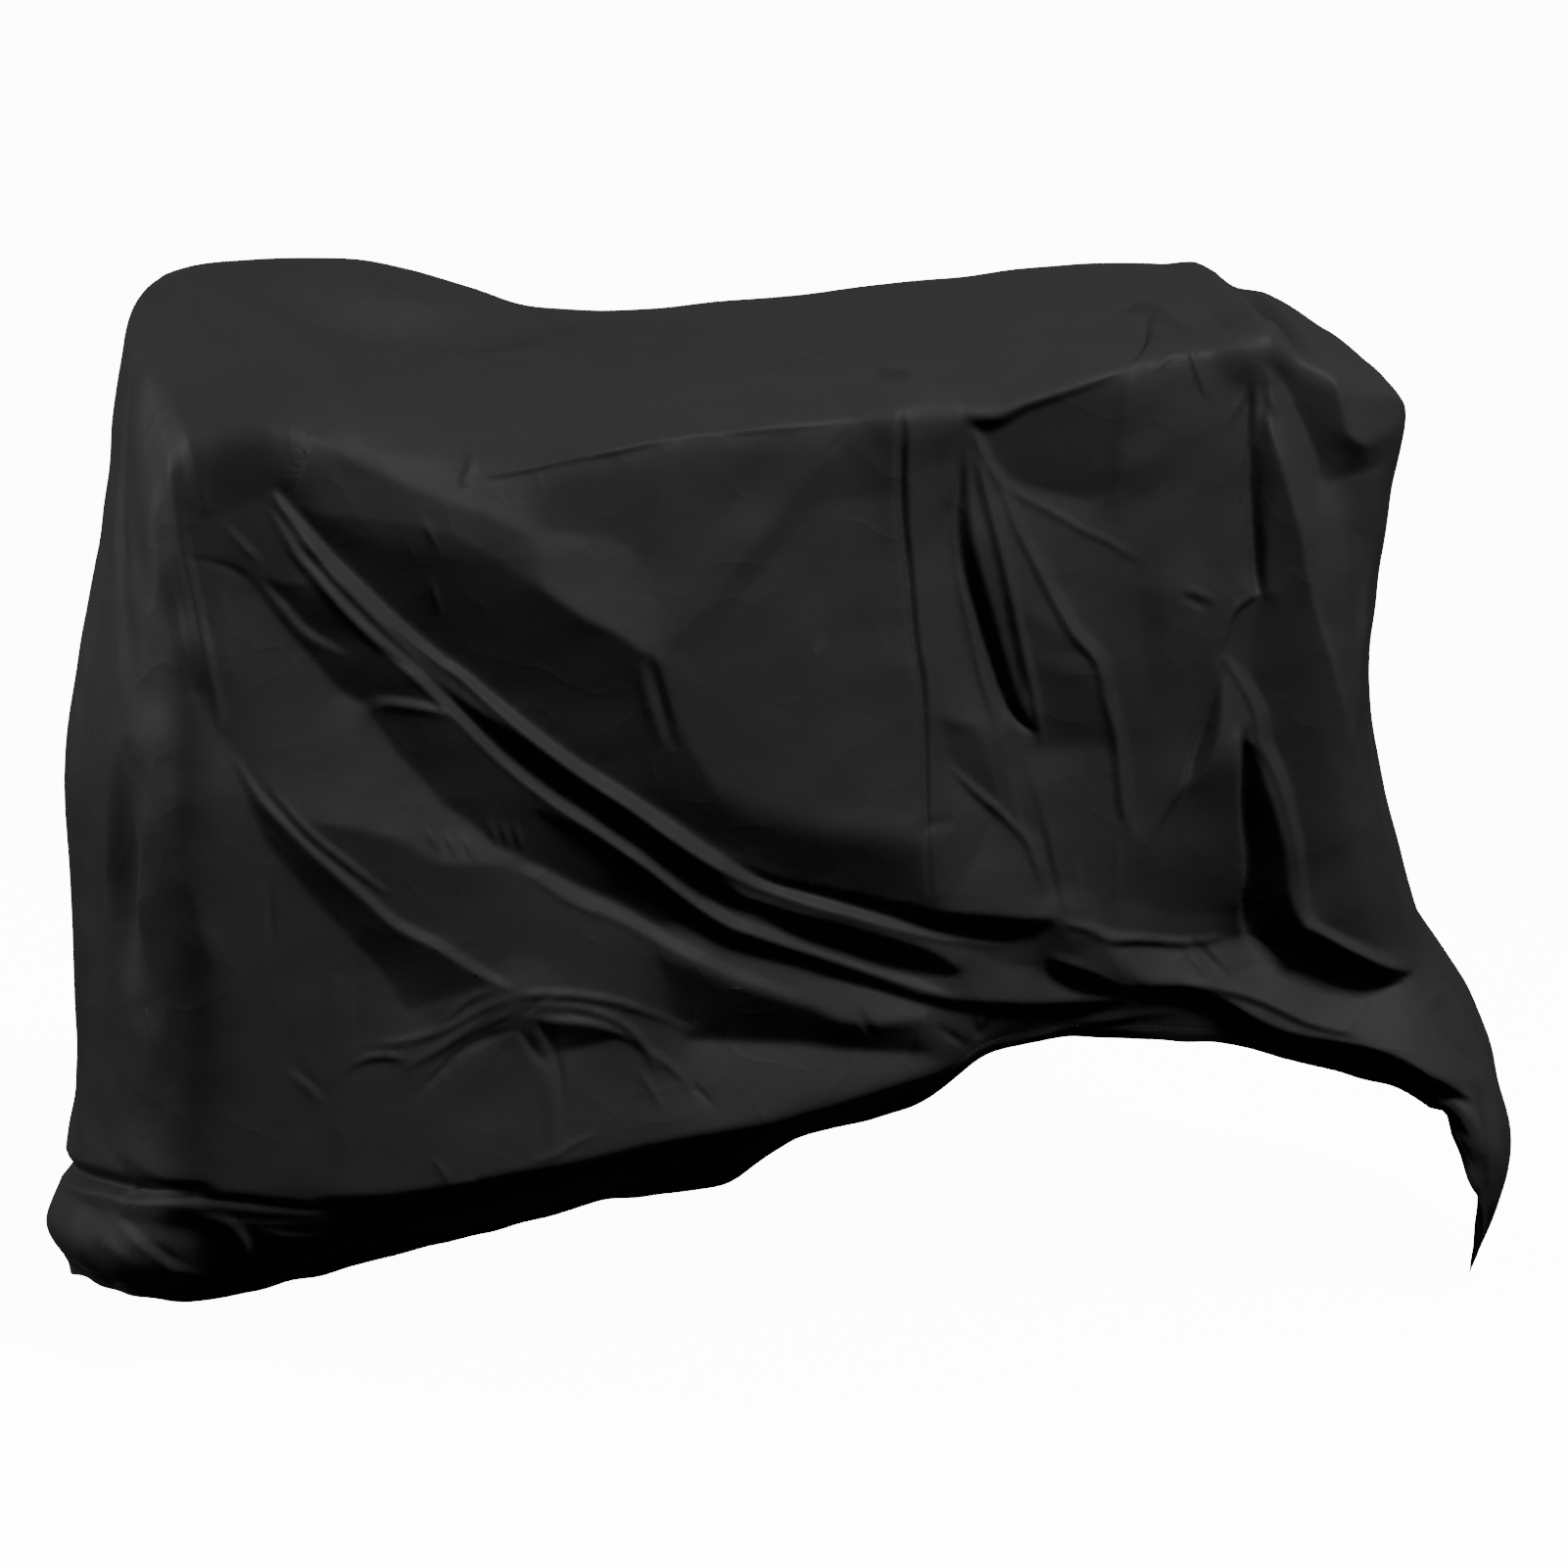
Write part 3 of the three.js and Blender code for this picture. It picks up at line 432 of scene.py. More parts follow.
def net_knots():
    ticks = np.linspace(-1, 1, NET + 1)
    knots = tent(*np.meshgrid(ticks, ticks))
    for axis in (0, 1):
        ends = [np.take(knots, index, axis) for index in (0, 1, -2, -1)]
        beyond = 2 * ends[0] - ends[1], 2 * ends[3] - ends[2]
        before, after = (np.expand_dims(row, axis) for row in beyond)
        knots = np.concatenate([before, knots, after], axis)
    return knots


def eased(knots):
    away = np.linalg.norm(knots - EASED_PLACE, axis=-1, keepdims=True)
    share = 1 - smooth(EASED_NEAR, EASED_FAR, away)
    for _ in range(EASED_ROUNDS):
        around = sum(np.roll(knots, step, axis) for step in (-1, 1) for axis in (0, 1)) / 4
        knots = mix(knots, around, share)
    return knots


def spline_weights(share):
    rest = 1 - share
    return (
        rest**3 / 6,
        (3 * share**3 - 6 * share**2 + 4) / 6,
        (3 * rest**3 - 6 * rest**2 + 4) / 6,
        share**3 / 6,
    )


def rounded(knots, first, second):
    along, across = (first + 1) / 2 * NET, (second + 1) / 2 * NET
    column, row = (np.clip(place.astype(int), 0, NET - 1) for place in (along, across))
    point = np.zeros((len(first), 3))
    for step_row, weight_row in enumerate(spline_weights(across - row)):
        for step_column, weight_column in enumerate(spline_weights(along - column)):
            weight = (weight_row * weight_column)[:, None]
            point += knots[row + step_row, column + step_column] * weight
    return point


knots = eased(net_knots())
print("net of", knots.shape[0], "by", knots.shape[1], "places")

# %% [markdown]
# ## The fine net
#
# The folds need a fine and even net of squares. A single grid over the square would crowd its
# lines on the top and spread them on the walls. So five patches, one for each face, are cut
# over the flat square and sewn together where their edges meet, and the net stays even from
# the top edge down to the hem.

# %% Five patches sewn into one net
ALONG, ACROSS, DOWN = ((520, 150, 330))
WELD_STEPS = 1e6


def ring(share, fall):
    reach = mix(TOP_SHARE, 1, fall)
    return (2 * share - 1) * reach, reach


def patch(face, columns, rows):
    one, two = np.meshgrid(np.linspace(0, 1, columns + 1), np.linspace(0, 1, rows + 1))
    if face == "top":
        places = TOP_SHARE * (2 * one - 1), TOP_SHARE * (2 * two - 1)
    elif face in ("near", "far"):
        side, reach = ring(one, 1 - two if face == "near" else two)
        places = side, -reach if face == "near" else reach
    else:
        side, reach = ring(two, 1 - one if face == "front" else one)
        places = -reach if face == "front" else reach, side
    index = np.arange((columns + 1) * (rows + 1)).reshape(rows + 1, columns + 1)
    corners = index[:-1, :-1], index[:-1, 1:], index[1:, 1:], index[1:, :-1]
    return np.stack([place.ravel() for place in places], -1), np.stack(corners, -1).reshape(-1, 4)


def fine_net():
    patches = [
        patch("top", ALONG, ACROSS), patch("near", ALONG, DOWN), patch("far", ALONG, DOWN),
        patch("front", DOWN, ACROSS), patch("back", DOWN, ACROSS),
    ]
    starts = np.cumsum([0] + [len(places) for places, _ in patches])
    places = np.concatenate([places for places, _ in patches])
    squares = np.concatenate([squares + start for (_, squares), start in zip(patches, starts)])
    steps = (places * WELD_STEPS).round().astype(np.int64)
    _, first, welded = np.unique(steps, axis=0, return_index=True, return_inverse=True)
    return places[first], welded.ravel()[squares]


def outward_of(points, squares):
    one, two, three, four = (points[squares[:, corner]] for corner in range(4))
    normals = np.cross(three - one, four - two)
    summed = np.stack([
        sum(np.bincount(squares[:, corner], normals[:, axis], len(points)) for corner in range(4))
        for axis in range(3)
    ], -1)
    return summed / np.linalg.norm(summed, axis=1, keepdims=True)


places, squares = fine_net()
hood = rounded(knots, places[:, 0], places[:, 1])
hood_outward = outward_of(hood, squares)
print(len(hood), "points and", len(squares), "squares")

# %% [markdown]
# ## Facets and pleats of the near side
#
# Pulled cloth doesn't lie in rounded waves. It falls into flat facets that meet in crisp
# edges, and into pleats, each a narrow strip that looks up with a dark undercut below it. They
# could be sculpted, but no one could then change a single one. What the eye sees of a facet
# is its tilt, so the tables below give tilts: how far a stretch of cloth looks to the right
# and up, as the tangent of its angle. The heights are then those that agree best with all the
# tilts at once. That is Poisson's equation, and on an even grid whose rim is mirrored the
# Fourier transform solves it in one step.

# %% A smooth path through given places, and how a place lies beside one of its steps
STEPS_IN_SPAN = 5
TIGHTNESS, LEAST_SPAN = 0.5, 1e-3


def drawn(path):
    points = np.array(path, float)
    points = np.concatenate([2 * points[:1] - points[1:2], points, 2 * points[-1:] - points[-2:-1]])
    lengths = np.maximum(np.linalg.norm(np.diff(points, axis=0), axis=1) ** TIGHTNESS, LEAST_SPAN)
    weights = curve_weights(np.linspace(0, 1, STEPS_IN_SPAN, endpoint=False)[:, None])
    spans = []
    for step in range(1, len(points) - 2):
        past, start, end, coming = points[step - 1:step + 3]
        before, here, after = lengths[step - 1:step + 2]
        leave = ((start - past) / before - (end - past) / (before + here)) * here + end - start
        arrive = ((coming - end) / after - (coming - start) / (here + after)) * here + end - start
        parts = start, leave, end, arrive
        spans.append(sum(weight * part for weight, part in zip(weights, parts)))
    return np.concatenate(spans + [points[-2:-1]])


def beside(first, second, start, end):
    run = end[:2] - start[:2]
    off = first - start[0], second - start[1]
    share = np.clip((off[0] * run[0] + off[1] * run[1]) / max(run @ run, TINY), 0, 1)
    away = np.hypot(off[0] - share * run[0], off[1] - share * run[1])
    return share, away, run[0] * off[1] - run[1] * off[0] > 0


print("a path of 3 places has", len(drawn(((0, 0), (1, 2), (3, 3)))), "points")

# %% A grid over the near side, and the stretch of it around some places
CELL = 3.0
NEAR_LOW, NEAR_HIGH = np.array((-900.0, -60.0)), np.array((870.0, 1200.0))
GRID = tuple(((NEAR_HIGH - NEAR_LOW) / CELL).astype(int) + 1)


def window_over(points, reach):
    least, most = np.min(points, axis=0)[:2] - reach, np.max(points, axis=0)[:2] + reach
    low = np.maximum(((least - NEAR_LOW) / CELL).astype(int), 0)
    high = np.minimum(((most - NEAR_LOW) / CELL).astype(int) + 2, GRID)
    window = slice(low[0], high[0]), slice(low[1], high[1])
    first, second = np.meshgrid(*(
        start + CELL * np.arange(part.start, part.stop) for start, part in zip(NEAR_LOW, window)
    ), indexing="ij")
    return window, first, second


print("the grid has", GRID, "cells of", CELL, "mm")

# %% A facet tilts all that lies inside its outline
FACET_GAIN = 1.7


def tilt_facet(tilts, looks, soft, outline):
    corners = np.array(outline, float)
    window, first, second = window_over(corners, soft)
    inside = np.zeros(first.shape, bool)
    nearest = np.full(first.shape, np.inf)
    for start, end in zip(corners, np.roll(corners, -1, axis=0)):
        crosses = (start[1] > second) != (end[1] > second)
        rise = end[1] - start[1] if end[1] != start[1] else 1.0
        inside ^= crosses & (first < start[0] + (second - start[1]) / rise * (end[0] - start[0]))
        nearest = np.minimum(nearest, beside(first, second, start, end)[1])
    share = smooth(-soft / 2, soft / 2, np.where(inside, nearest, -nearest))
    for axis in (0, 1):
        tilts[axis][window] = mix(tilts[axis][window], FACET_GAIN * looks[axis], share)


TRIAL_FACET = ((0, 400), (100, 400), (100, 500), (0, 500))
trial = [np.zeros(GRID), np.zeros(GRID)]
tilt_facet(trial, (0.0, 0.2), 5, TRIAL_FACET)
print("a trial facet tilts", int((trial[1] > 0).sum()), "cells")

# %% A pleat tilts bands that run beside its path
EDGE = 2.5
BAND_FADE = (0.05, 0.35)


def tilt_bands(tilts, bands, path):
    steps = drawn(path)
    reach = max(abs(edge) for band in bands for edge in band[:2]) * steps[:, 2].max() + 2 * EDGE
    window, first, second = window_over(steps, reach)
    nearest = np.full(first.shape, np.inf)
    offset, scale, across, rise = (np.zeros(first.shape) for _ in range(4))
    for index, (start, end) in enumerate(zip(steps[:-1], steps[1:])):
        run = end[:2] - start[:2]
        share, away, on_left = beside(first, second, start, end)
        closer = away < nearest
        nearest = np.where(closer, away, nearest)
        offset = np.where(closer, np.where(on_left, away, -away), offset)
        scale = np.where(closer, mix(start[2], end[2], share), scale)
        across = np.where(closer, -run[1] / np.hypot(*run), across)
        rise = np.where(closer, run[0] / np.hypot(*run), rise)
        if index == 0:
            past = closer & (share <= 0)
        elif index == len(steps) - 2:
            past = np.where(closer, share >= 1, past)
        else:
            past = past & ~closer
    for upper, lower, tilt in bands:
        below = np.clip((upper * scale - offset) / EDGE + 0.5, 0, 1)
        above = np.clip((offset - lower * scale) / EDGE + 0.5, 0, 1)
        share = below * above * ~past * smooth(*BAND_FADE, scale)
        for axis, part in enumerate((across, rise)):
            tilts[axis][window] = mix(tilts[axis][window], tilt * part, share)


TRIAL_PLEAT = ((0, 700, 1.0), (100, 700, 1.0))
tilt_bands(trial, ((7, -7, 1.0),), TRIAL_PLEAT)
print("with a trial pleat", int((trial[1] > 0).sum()), "cells are tilted")

# %% The heights that agree best with all the tilts
REACH = 330.0


def heights_of(tilts):
    wanted = np.zeros(GRID)
    for axis, tilt in enumerate(tilts):
        ahead, behind = (
            tuple(part if index == axis else slice(None) for index in (0, 1))
            for part in (slice(1, None), slice(None, -1))
        )
        step = -CELL * (tilt[ahead] + tilt[behind]) / 2
        wanted[ahead] += step
        wanted[behind] -= step
    mirrored = np.block([[wanted, wanted[:, ::-1]], [wanted[::-1], wanted[::-1, ::-1]]])
    spectrum = np.fft.rfft2(mirrored)
    counts = 2 * GRID[0], spectrum.shape[1]
    bend = [2 - 2 * np.cos(np.pi * np.arange(count) / size) for count, size in zip(counts, GRID)]
    spectrum /= bend[0][:, None] + bend[1][None, :] + (CELL / REACH) ** 2
    return np.fft.irfft2(spectrum, mirrored.shape)[: GRID[0], : GRID[1]]


def softened(field):
    for axis in (0, 1):
        border = [(1, 1) if index == axis else (0, 0) for index in (0, 1)]
        edges, count = np.pad(field, border, mode="edge"), field.shape[axis]
        ahead, behind = (np.take(edges, range(start, start + count), axis) for start in (2, 0))
        field = (ahead + 2 * field + behind) / 4
    return field


print("the trial stands out by", round(float(softened(heights_of(trial)).max()), 1), "mm")

# %% The facets of the front half: name, look (right, up), softness of the edge, outline of (x, z)
FACETS = (
    ("shoulder band", (0.0, -0.06), 40, ((-690, 1150), (-640, 1080), (-600, 1047), (-551, 1015),
        (-500, 993), (-450, 970), (-400, 953), (-350, 935), (-300, 929), (-300, 1000), (-420, 1000),
        (-520, 1050), (-620, 1120))),
    ("shoulder tip", (0.06, 0.14), 14, ((-350, 935), (-262, 930), (-225, 900), (-212, 850),
        (-207, 792), (-229, 797), (-264, 824), (-300, 841), (-352, 881))),
    ("wall over the hollow", (-0.04, -0.25), 16, ((-700, 1040), (-650, 1078), (-590, 1056),
        (-530, 1018), (-486, 994), (-440, 975), (-395, 957), (-350, 932), (-352, 881), (-399, 915),
        (-446, 941), (-481, 950), (-528, 957), (-590, 962), (-634, 984), (-690, 960))),
    ("hollow", (-0.08, -0.36), 6, ((-634, 984), (-590, 962), (-528, 957), (-481, 950), (-446, 941),
        (-399, 915), (-352, 881), (-300, 841), (-264, 824), (-229, 797), (-210, 785), (-200, 740),
        (-180, 690), (-150, 640), (-120, 560), (-150, 570), (-200, 606), (-241, 631), (-300, 672),
        (-358, 718), (-393, 748), (-434, 785), (-452, 798), (-504, 845), (-540, 881), (-581, 925),
        (-625, 980))),
    ("under ridge two", (-0.1, -0.34), 6, ((-600, 882), (-537, 809), (-490, 766), (-443, 717),
        (-396, 668), (-338, 618), (-279, 577), (-221, 533), (-161, 490), (-202, 470), (-250, 500),
        (-297, 521), (-344, 546), (-358, 553), (-393, 572), (-420, 599), (-452, 621), (-475, 652),
        (-504, 676), (-531, 727), (-569, 758), (-598, 795), (-616, 816), (-639, 846), (-662, 882))),
    ("dark of the pocket", (-0.1, -0.36), 6, ((-664, 884), (-640, 850), (-618, 820), (-598, 797),
        (-570, 760), (-530, 735), (-500, 738), (-520, 765), (-552, 790), (-585, 830), (-612, 862),
        (-640, 890))),
    ("pocket facet", (-0.04, 0.2), 4, ((-684, 892), (-662, 882), (-639, 846), (-616, 816),
        (-598, 795), (-569, 758), (-528, 733), (-531, 727), (-507, 689), (-475, 652), (-452, 621),
        (-420, 599), (-393, 572), (-358, 553), (-400, 552), (-460, 558), (-510, 590), (-560, 606),
        (-600, 612), (-640, 640), (-672, 680), (-690, 740), (-696, 810))),
    ("middle facet", (0.02, -0.14), 10, ((-600, 612), (-560, 606), (-510, 590), (-460, 558),
        (-400, 552), (-366, 545), (-366, 420), (-397, 428), (-462, 474), (-509, 500), (-544, 535),
        (-580, 569))),
    ("under low ridge left", (-0.12, -0.3), 6, ((-674, 640), (-655, 590), (-600, 520), (-556, 470),
        (-521, 430), (-497, 386), (-450, 400), (-403, 414), (-462, 455), (-509, 482), (-544, 516),
        (-580, 550), (-609, 578), (-639, 610), (-660, 634))),
    ("front facet", (0.14, 0.2), 5, ((-752, 700), (-758, 640), (-752, 560), (-736, 500),
        (-716, 450), (-696, 500), (-676, 560), (-662, 604), (-680, 650), (-694, 700), (-712, 760),
        (-738, 760))),
    ("left of the front facet", (-0.06, -0.04), 8, ((-800, 700), (-752, 700), (-758, 640),
        (-752, 560), (-736, 500), (-716, 450), (-740, 380), (-790, 360))),
)
print(len(FACETS), "facets so far")

# %% The facets of the middle
FACETS += (
    ("foot of the middle panel", (0.0, -0.4), 50, ((-190, 640), (-100, 605), (0, 580), (112, 565),
        (112, 470), (50, 480), (-20, 500), (-93, 530), (-150, 565))),
    ("back hollow", (-0.1, -0.26), 5, ((172, 1038), (216, 1052), (252, 1062), (300, 1076),
        (335, 1086), (338, 1020), (330, 965), (300, 940), (240, 955), (205, 968), (186, 995))),
    ("door of the first post", (0.3, 0.06), 5, ((74, 1090), (100, 1130), (128, 1090), (148, 1040),
        (128, 992), (130, 938), (138, 878), (146, 819), (158, 747), (168, 700), (196, 600),
        (150, 520), (104, 495), (98, 600), (98, 690), (94, 749), (88, 785), (82, 869), (76, 928),
        (74, 1000))),
    ("four sided facet", (-0.1, -0.18), 12, ((121, 700), (166, 690), (195, 590), (130, 647))),
    ("left of the first post", (-0.2, -0.22), 30, ((49, 1031), (72, 1026), (74, 968), (13, 958),
        (25, 990))),
    ("dark of the fan", (-0.14, -0.28), 30, ((232, 760), (298, 745), (322, 700), (326, 660),
        (240, 655), (226, 690))),
    ("between the fan ridges", (-0.12, -0.16), 16, ((200, 830), (250, 800), (290, 770), (240, 765),
        (205, 765))),
    ("right of fan ridge two", (-0.1, -0.06), 20, ((325, 850), (440, 820), (430, 700), (400, 600),
        (350, 570), (345, 640), (335, 700), (322, 750))),
)
print(len(FACETS), "facets so far")

# %% The facets of the back
FACETS += (
    ("second post light", (0.4, 0.5), 5, ((473, 1066), (486, 1070), (488, 1000), (488, 930),
        (489, 870), (489, 830), (478, 832), (475, 900), (472, 980))),
    ("second post dark", (-0.5, -0.2), 5, ((482, 1062), (499, 1040), (508, 1000), (506, 950),
        (500, 900), (497, 850), (491, 826), (488, 870), (485, 913), (482, 967))),
    ("dark back panel", (-0.26, -0.22), 6, ((499, 1036), (511, 993), (522, 949), (536, 900),
        (544, 856), (553, 818), (573, 758), (595, 687), (612, 632), (640, 540), (680, 440),
        (700, 380), (640, 400), (568, 436), (556, 455), (546, 517), (534, 571), (517, 621),
        (504, 654), (496, 692), (480, 725), (484, 790), (491, 826), (497, 860), (504, 910),
        (507, 950), (506, 1000))),
    ("light back panel", (0.42, 0.26), 5, ((499, 1088), (518, 1078), (538, 1035), (560, 985),
        (566, 953), (561, 888), (559, 840), (553, 818), (544, 856), (536, 900), (522, 949),
        (511, 993), (500, 1036))),
    ("right of the light panel", (-0.22, -0.14), 6, ((518, 1080), (545, 1092), (576, 1096),
        (592, 1010), (600, 955), (566, 953), (560, 985), (538, 1035))),
    ("light corner facet", (0.34, 0.26), 5, ((577, 1096), (640, 1082), (674, 1050), (668, 1012),
        (622, 990), (594, 1008))),
    ("under the corner facet", (-0.16, -0.3), 8, ((594, 1006), (622, 988), (668, 1010), (664, 985),
        (640, 960), (598, 955))),
    ("low back light", (-0.04, 0.06), 16, ((566, 950), (640, 960), (628, 800), (612, 680),
        (596, 690), (573, 758), (556, 820), (561, 888))),
    ("left of the deep hollow", (-0.1, -0.12), 14, ((400, 600), (440, 640), (470, 640), (474, 574),
        (484, 500), (478, 450), (400, 452), (345, 470), (348, 540))),
    ("deep back hollow", (-0.7, -0.7), 4, ((473, 664), (472, 638), (476, 574), (487, 501),
        (482, 451), (492, 415), (548, 394), (562, 420), (544, 440), (532, 474), (526, 525),
        (511, 575), (502, 600), (486, 650))),
    ("hollow over the roll", (0.15, -1.25), 4, ((548, 394), (598, 368), (642, 350), (702, 354),
        (682, 366), (640, 384), (600, 406), (568, 424), (548, 436))),
    ("end facet", (0.1, 0.3), 5, ((642, 350), (702, 354), (712, 357), (766, 305), (764, 262),
        (755, 259), (720, 284), (679, 311), (640, 336))),
)
print(len(FACETS), "facets so far")

# %% The facets of the low wall, the hem and its roll
FACETS += (
    ("foot facet", (0.0, 0.14), 4, ((131, 432), (152, 430), (199, 403), (236, 400), (246, 381),
        (298, 363), (345, 360), (246, 359), (163, 369), (139, 377))),
    ("grey facet", (-0.1, -0.14), 4, ((204, 424), (251, 449), (268, 442), (246, 426), (238, 400),
        (199, 403))),
    ("wedge by the foot", (-0.2, -0.9), 4, ((250, 412), (298, 394), (346, 367), (350, 358),
        (293, 370), (250, 393))),
    ("facet by the roll", (-0.1, -0.24), 5, ((256, 420), (280, 438), (314, 428), (352, 384),
        (352, 366), (298, 398))),
    ("low swell", (0.0, 0.16), 8, ((-42, 398), (6, 396), (58, 388), (105, 380), (104, 352),
        (40, 345), (0, 352), (-30, 372))),
    ("dark low wall", (-0.04, -0.5), 10, ((-206, 440), (-170, 425), (-119, 400), (-67, 380),
        (-30, 368), (0, 350), (40, 343), (104, 346), (110, 303), (58, 307), (-20, 319), (-98, 325),
        (-171, 332), (-190, 360))),
    ("light low wall", (0.0, 0.12), 5, ((-171, 331), (-98, 324), (-20, 318), (58, 306), (108, 301),
        (134, 289), (84, 279), (32, 266), (-20, 252), (-72, 243), (-150, 233), (-202, 221),
        (-166, 277))),
    ("dark by the knot", (-0.1, -0.5), 4, ((-350, 364), (-300, 362), (-250, 346), (-290, 334),
        (-344, 325))),
    ("lobe", (-0.04, -0.34), 10, ((-880, 200), (-798, 185), (-698, 168), (-627, 154), (-570, 138),
        (-556, 110), (-620, 60), (-700, 40), (-780, 35), (-850, 55), (-890, 120))),
    ("lobe end", (-0.45, -0.3), 14, ((-885, 190), (-815, 176), (-800, 120), (-812, 60), (-860, 60),
        (-895, 110))),
    ("lobe facet", (0.22, 0.02), 6, ((-776, 140), (-730, 150), (-706, 132), (-702, 96), (-726, 76),
        (-762, 92))),
    ("under the hem edge", (0.0, -0.55), 8, ((-600, 180), (-521, 180), (-462, 186), (-403, 195),
        (-344, 202), (-285, 208), (-226, 219), (-154, 228), (-72, 236), (-20, 245), (32, 259),
        (84, 272), (131, 281), (163, 294), (163, 255), (100, 205), (0, 190), (-100, 165),
        (-200, 150), (-300, 125), (-403, 100), (-500, 100), (-570, 140))),
    ("roll top", (0.04, 0.34), 5, ((300, 440), (360, 424), (461, 416), (502, 409), (548, 392),
        (598, 364), (640, 336), (680, 311), (720, 284), (755, 259), (770, 248), (782, 228),
        (750, 234), (720, 246), (680, 263), (629, 286), (568, 297), (538, 306), (492, 329),
        (452, 356), (400, 372), (352, 380))),
    ("hem strip", (0.05, 0.22), 6, ((400, 346), (452, 330), (492, 303), (538, 282), (568, 273),
        (629, 262), (680, 239), (720, 222), (750, 210), (782, 200), (790, 150), (740, 160),
        (690, 205), (600, 238), (500, 270), (400, 296), (330, 318))),
)
print(len(FACETS), "facets")

# %% The long pleats: name, bands (from, to, tilt to the left hand), path of (x, z, breadth)
STRIP = ((7, -7, 1.0), (-7, -11, -1.6))
UNDERCUT = ((12, -12, -1.1),)
THIN = ((4, -2, 1.0), (-2, -8, -1.0))
PLEATS = (
    ("undercut one", UNDERCUT, ((-474, 776, 0.2), (-440, 744, 0.5), (-393, 707, 0.9),
        (-358, 680, 1.1), (-300, 635, 1.2), (-241, 595, 1.2), (-200, 563, 1.2), (-150, 524, 1.1),
        (-120, 502, 0.7), (-90, 490, 0.6), (-46, 470, 1.1), (6, 451, 1.4), (58, 431, 1.5),
        (110, 413, 1.2), (142, 400, 0.4))),
    ("undercut two", UNDERCUT, ((-345, 612, 0.3), (-270, 566, 0.7), (-212, 522, 0.9),
        (-171, 487, 1.0), (-140, 464, 0.9), (-100, 446, 0.8), (-46, 426, 0.7), (6, 405, 0.6),
        (58, 386, 0.5), (100, 371, 0.45), (140, 362, 0.5), (194, 354, 0.6), (246, 348, 0.65),
        (298, 346, 0.6), (345, 352, 0.3))),
    ("undercut of the panel", UNDERCUT, ((-125, 548, 0.2), (-70, 520, 0.4), (-20, 506, 0.6),
        (32, 491, 0.8), (70, 480, 0.9), (115, 466, 1.1), (170, 456, 1.2), (215, 450, 1.2),
        (250, 456, 0.5))),
    ("long ridge one", STRIP, ((-636, 986, 0.4), (-630, 976, 0.7), (-581, 914, 0.9),
        (-540, 871, 0.8), (-504, 834, 0.8), (-452, 788, 0.7), (-434, 776, 0.8), (-393, 739, 0.9),
        (-358, 708, 0.9), (-300, 662, 1.0), (-241, 621, 1.1), (-200, 590, 1.2), (-150, 554, 1.1),
        (-114, 531, 0.9), (-93, 519, 0.8), (-46, 501, 0.9), (6, 484, 0.9), (58, 466, 0.8),
        (110, 449, 0.7), (163, 435, 0.5), (204, 427, 0.3))),
    ("long ridge two", STRIP, ((-642, 968, 0.3), (-620, 930, 0.7), (-592, 891, 0.9),
        (-528, 818, 0.9), (-481, 775, 0.9), (-434, 726, 0.9), (-387, 677, 0.9), (-329, 628, 1.0),
        (-270, 587, 1.1), (-212, 543, 1.1), (-171, 508, 1.0), (-140, 485, 0.9), (-119, 472, 0.8),
        (-98, 464, 0.8), (-46, 443, 0.8), (6, 422, 0.7), (58, 402, 0.7), (100, 385, 0.5),
        (137, 372, 0.3))),
    ("strand between", THIN, ((-622, 960, 0.5), (-585, 906, 1.0), (-540, 856, 1.0),
        (-500, 814, 0.8), (-466, 782, 0.4))),
    ("second strand between", THIN, ((-604, 905, 0.4), (-560, 850, 0.8), (-520, 812, 0.8),
        (-486, 786, 0.4))),
    ("short front ridge", ((4, -4, 0.7), (-4, -8, -0.7)), ((-690, 948, 0.6), (-670, 926, 1.0),
        (-653, 908, 0.6))),
    ("strand three", ((4, -4, 0.6), (-4, -7, -0.6)), ((-657, 889, 0.4), (-630, 858, 1.0),
        (-604, 827, 1.0), (-563, 802, 0.4))),
    ("pocket crease", ((4, 0, -0.9), (0, -4, 0.7)), ((-732, 906, 0.6), (-709, 904, 1.0),
        (-682, 896, 1.2), (-664, 884, 0.9))),
    ("shelf strand", THIN, ((-531, 733, 0.6), (-524, 742, 1.2), (-500, 743, 1.3), (-470, 738, 1.2),
        (-447, 729, 0.6))),
    ("low ridge right", ((10, -10, 0.5), (-10, -13, -0.9)), ((-368, 546, 0.5), (-344, 537, 0.8),
        (-297, 507, 1.0), (-250, 487, 1.0), (-202, 456, 0.8), (-171, 440, 0.7), (-140, 425, 0.6),
        (-119, 413, 0.5), (-98, 404, 0.5), (-67, 391, 0.4), (-46, 382, 0.3))),
    ("low ridge left", ((5, -5, 0.85), (-5, -9, -0.9)), ((-690, 692, 0.4), (-662, 646, 0.9),
        (-639, 620, 1.0), (-609, 588, 1.0), (-580, 560, 1.0), (-544, 526, 1.0), (-509, 492, 1.0),
        (-462, 465, 1.0), (-426, 439, 0.9), (-397, 420, 0.8), (-379, 410, 0.4))),
    ("line over low ridge left", THIN, ((-650, 652, 0.5), (-609, 605, 1.0), (-560, 562, 1.0),
        (-520, 528, 0.5))),
)
print(len(PLEATS), "pleats so far")

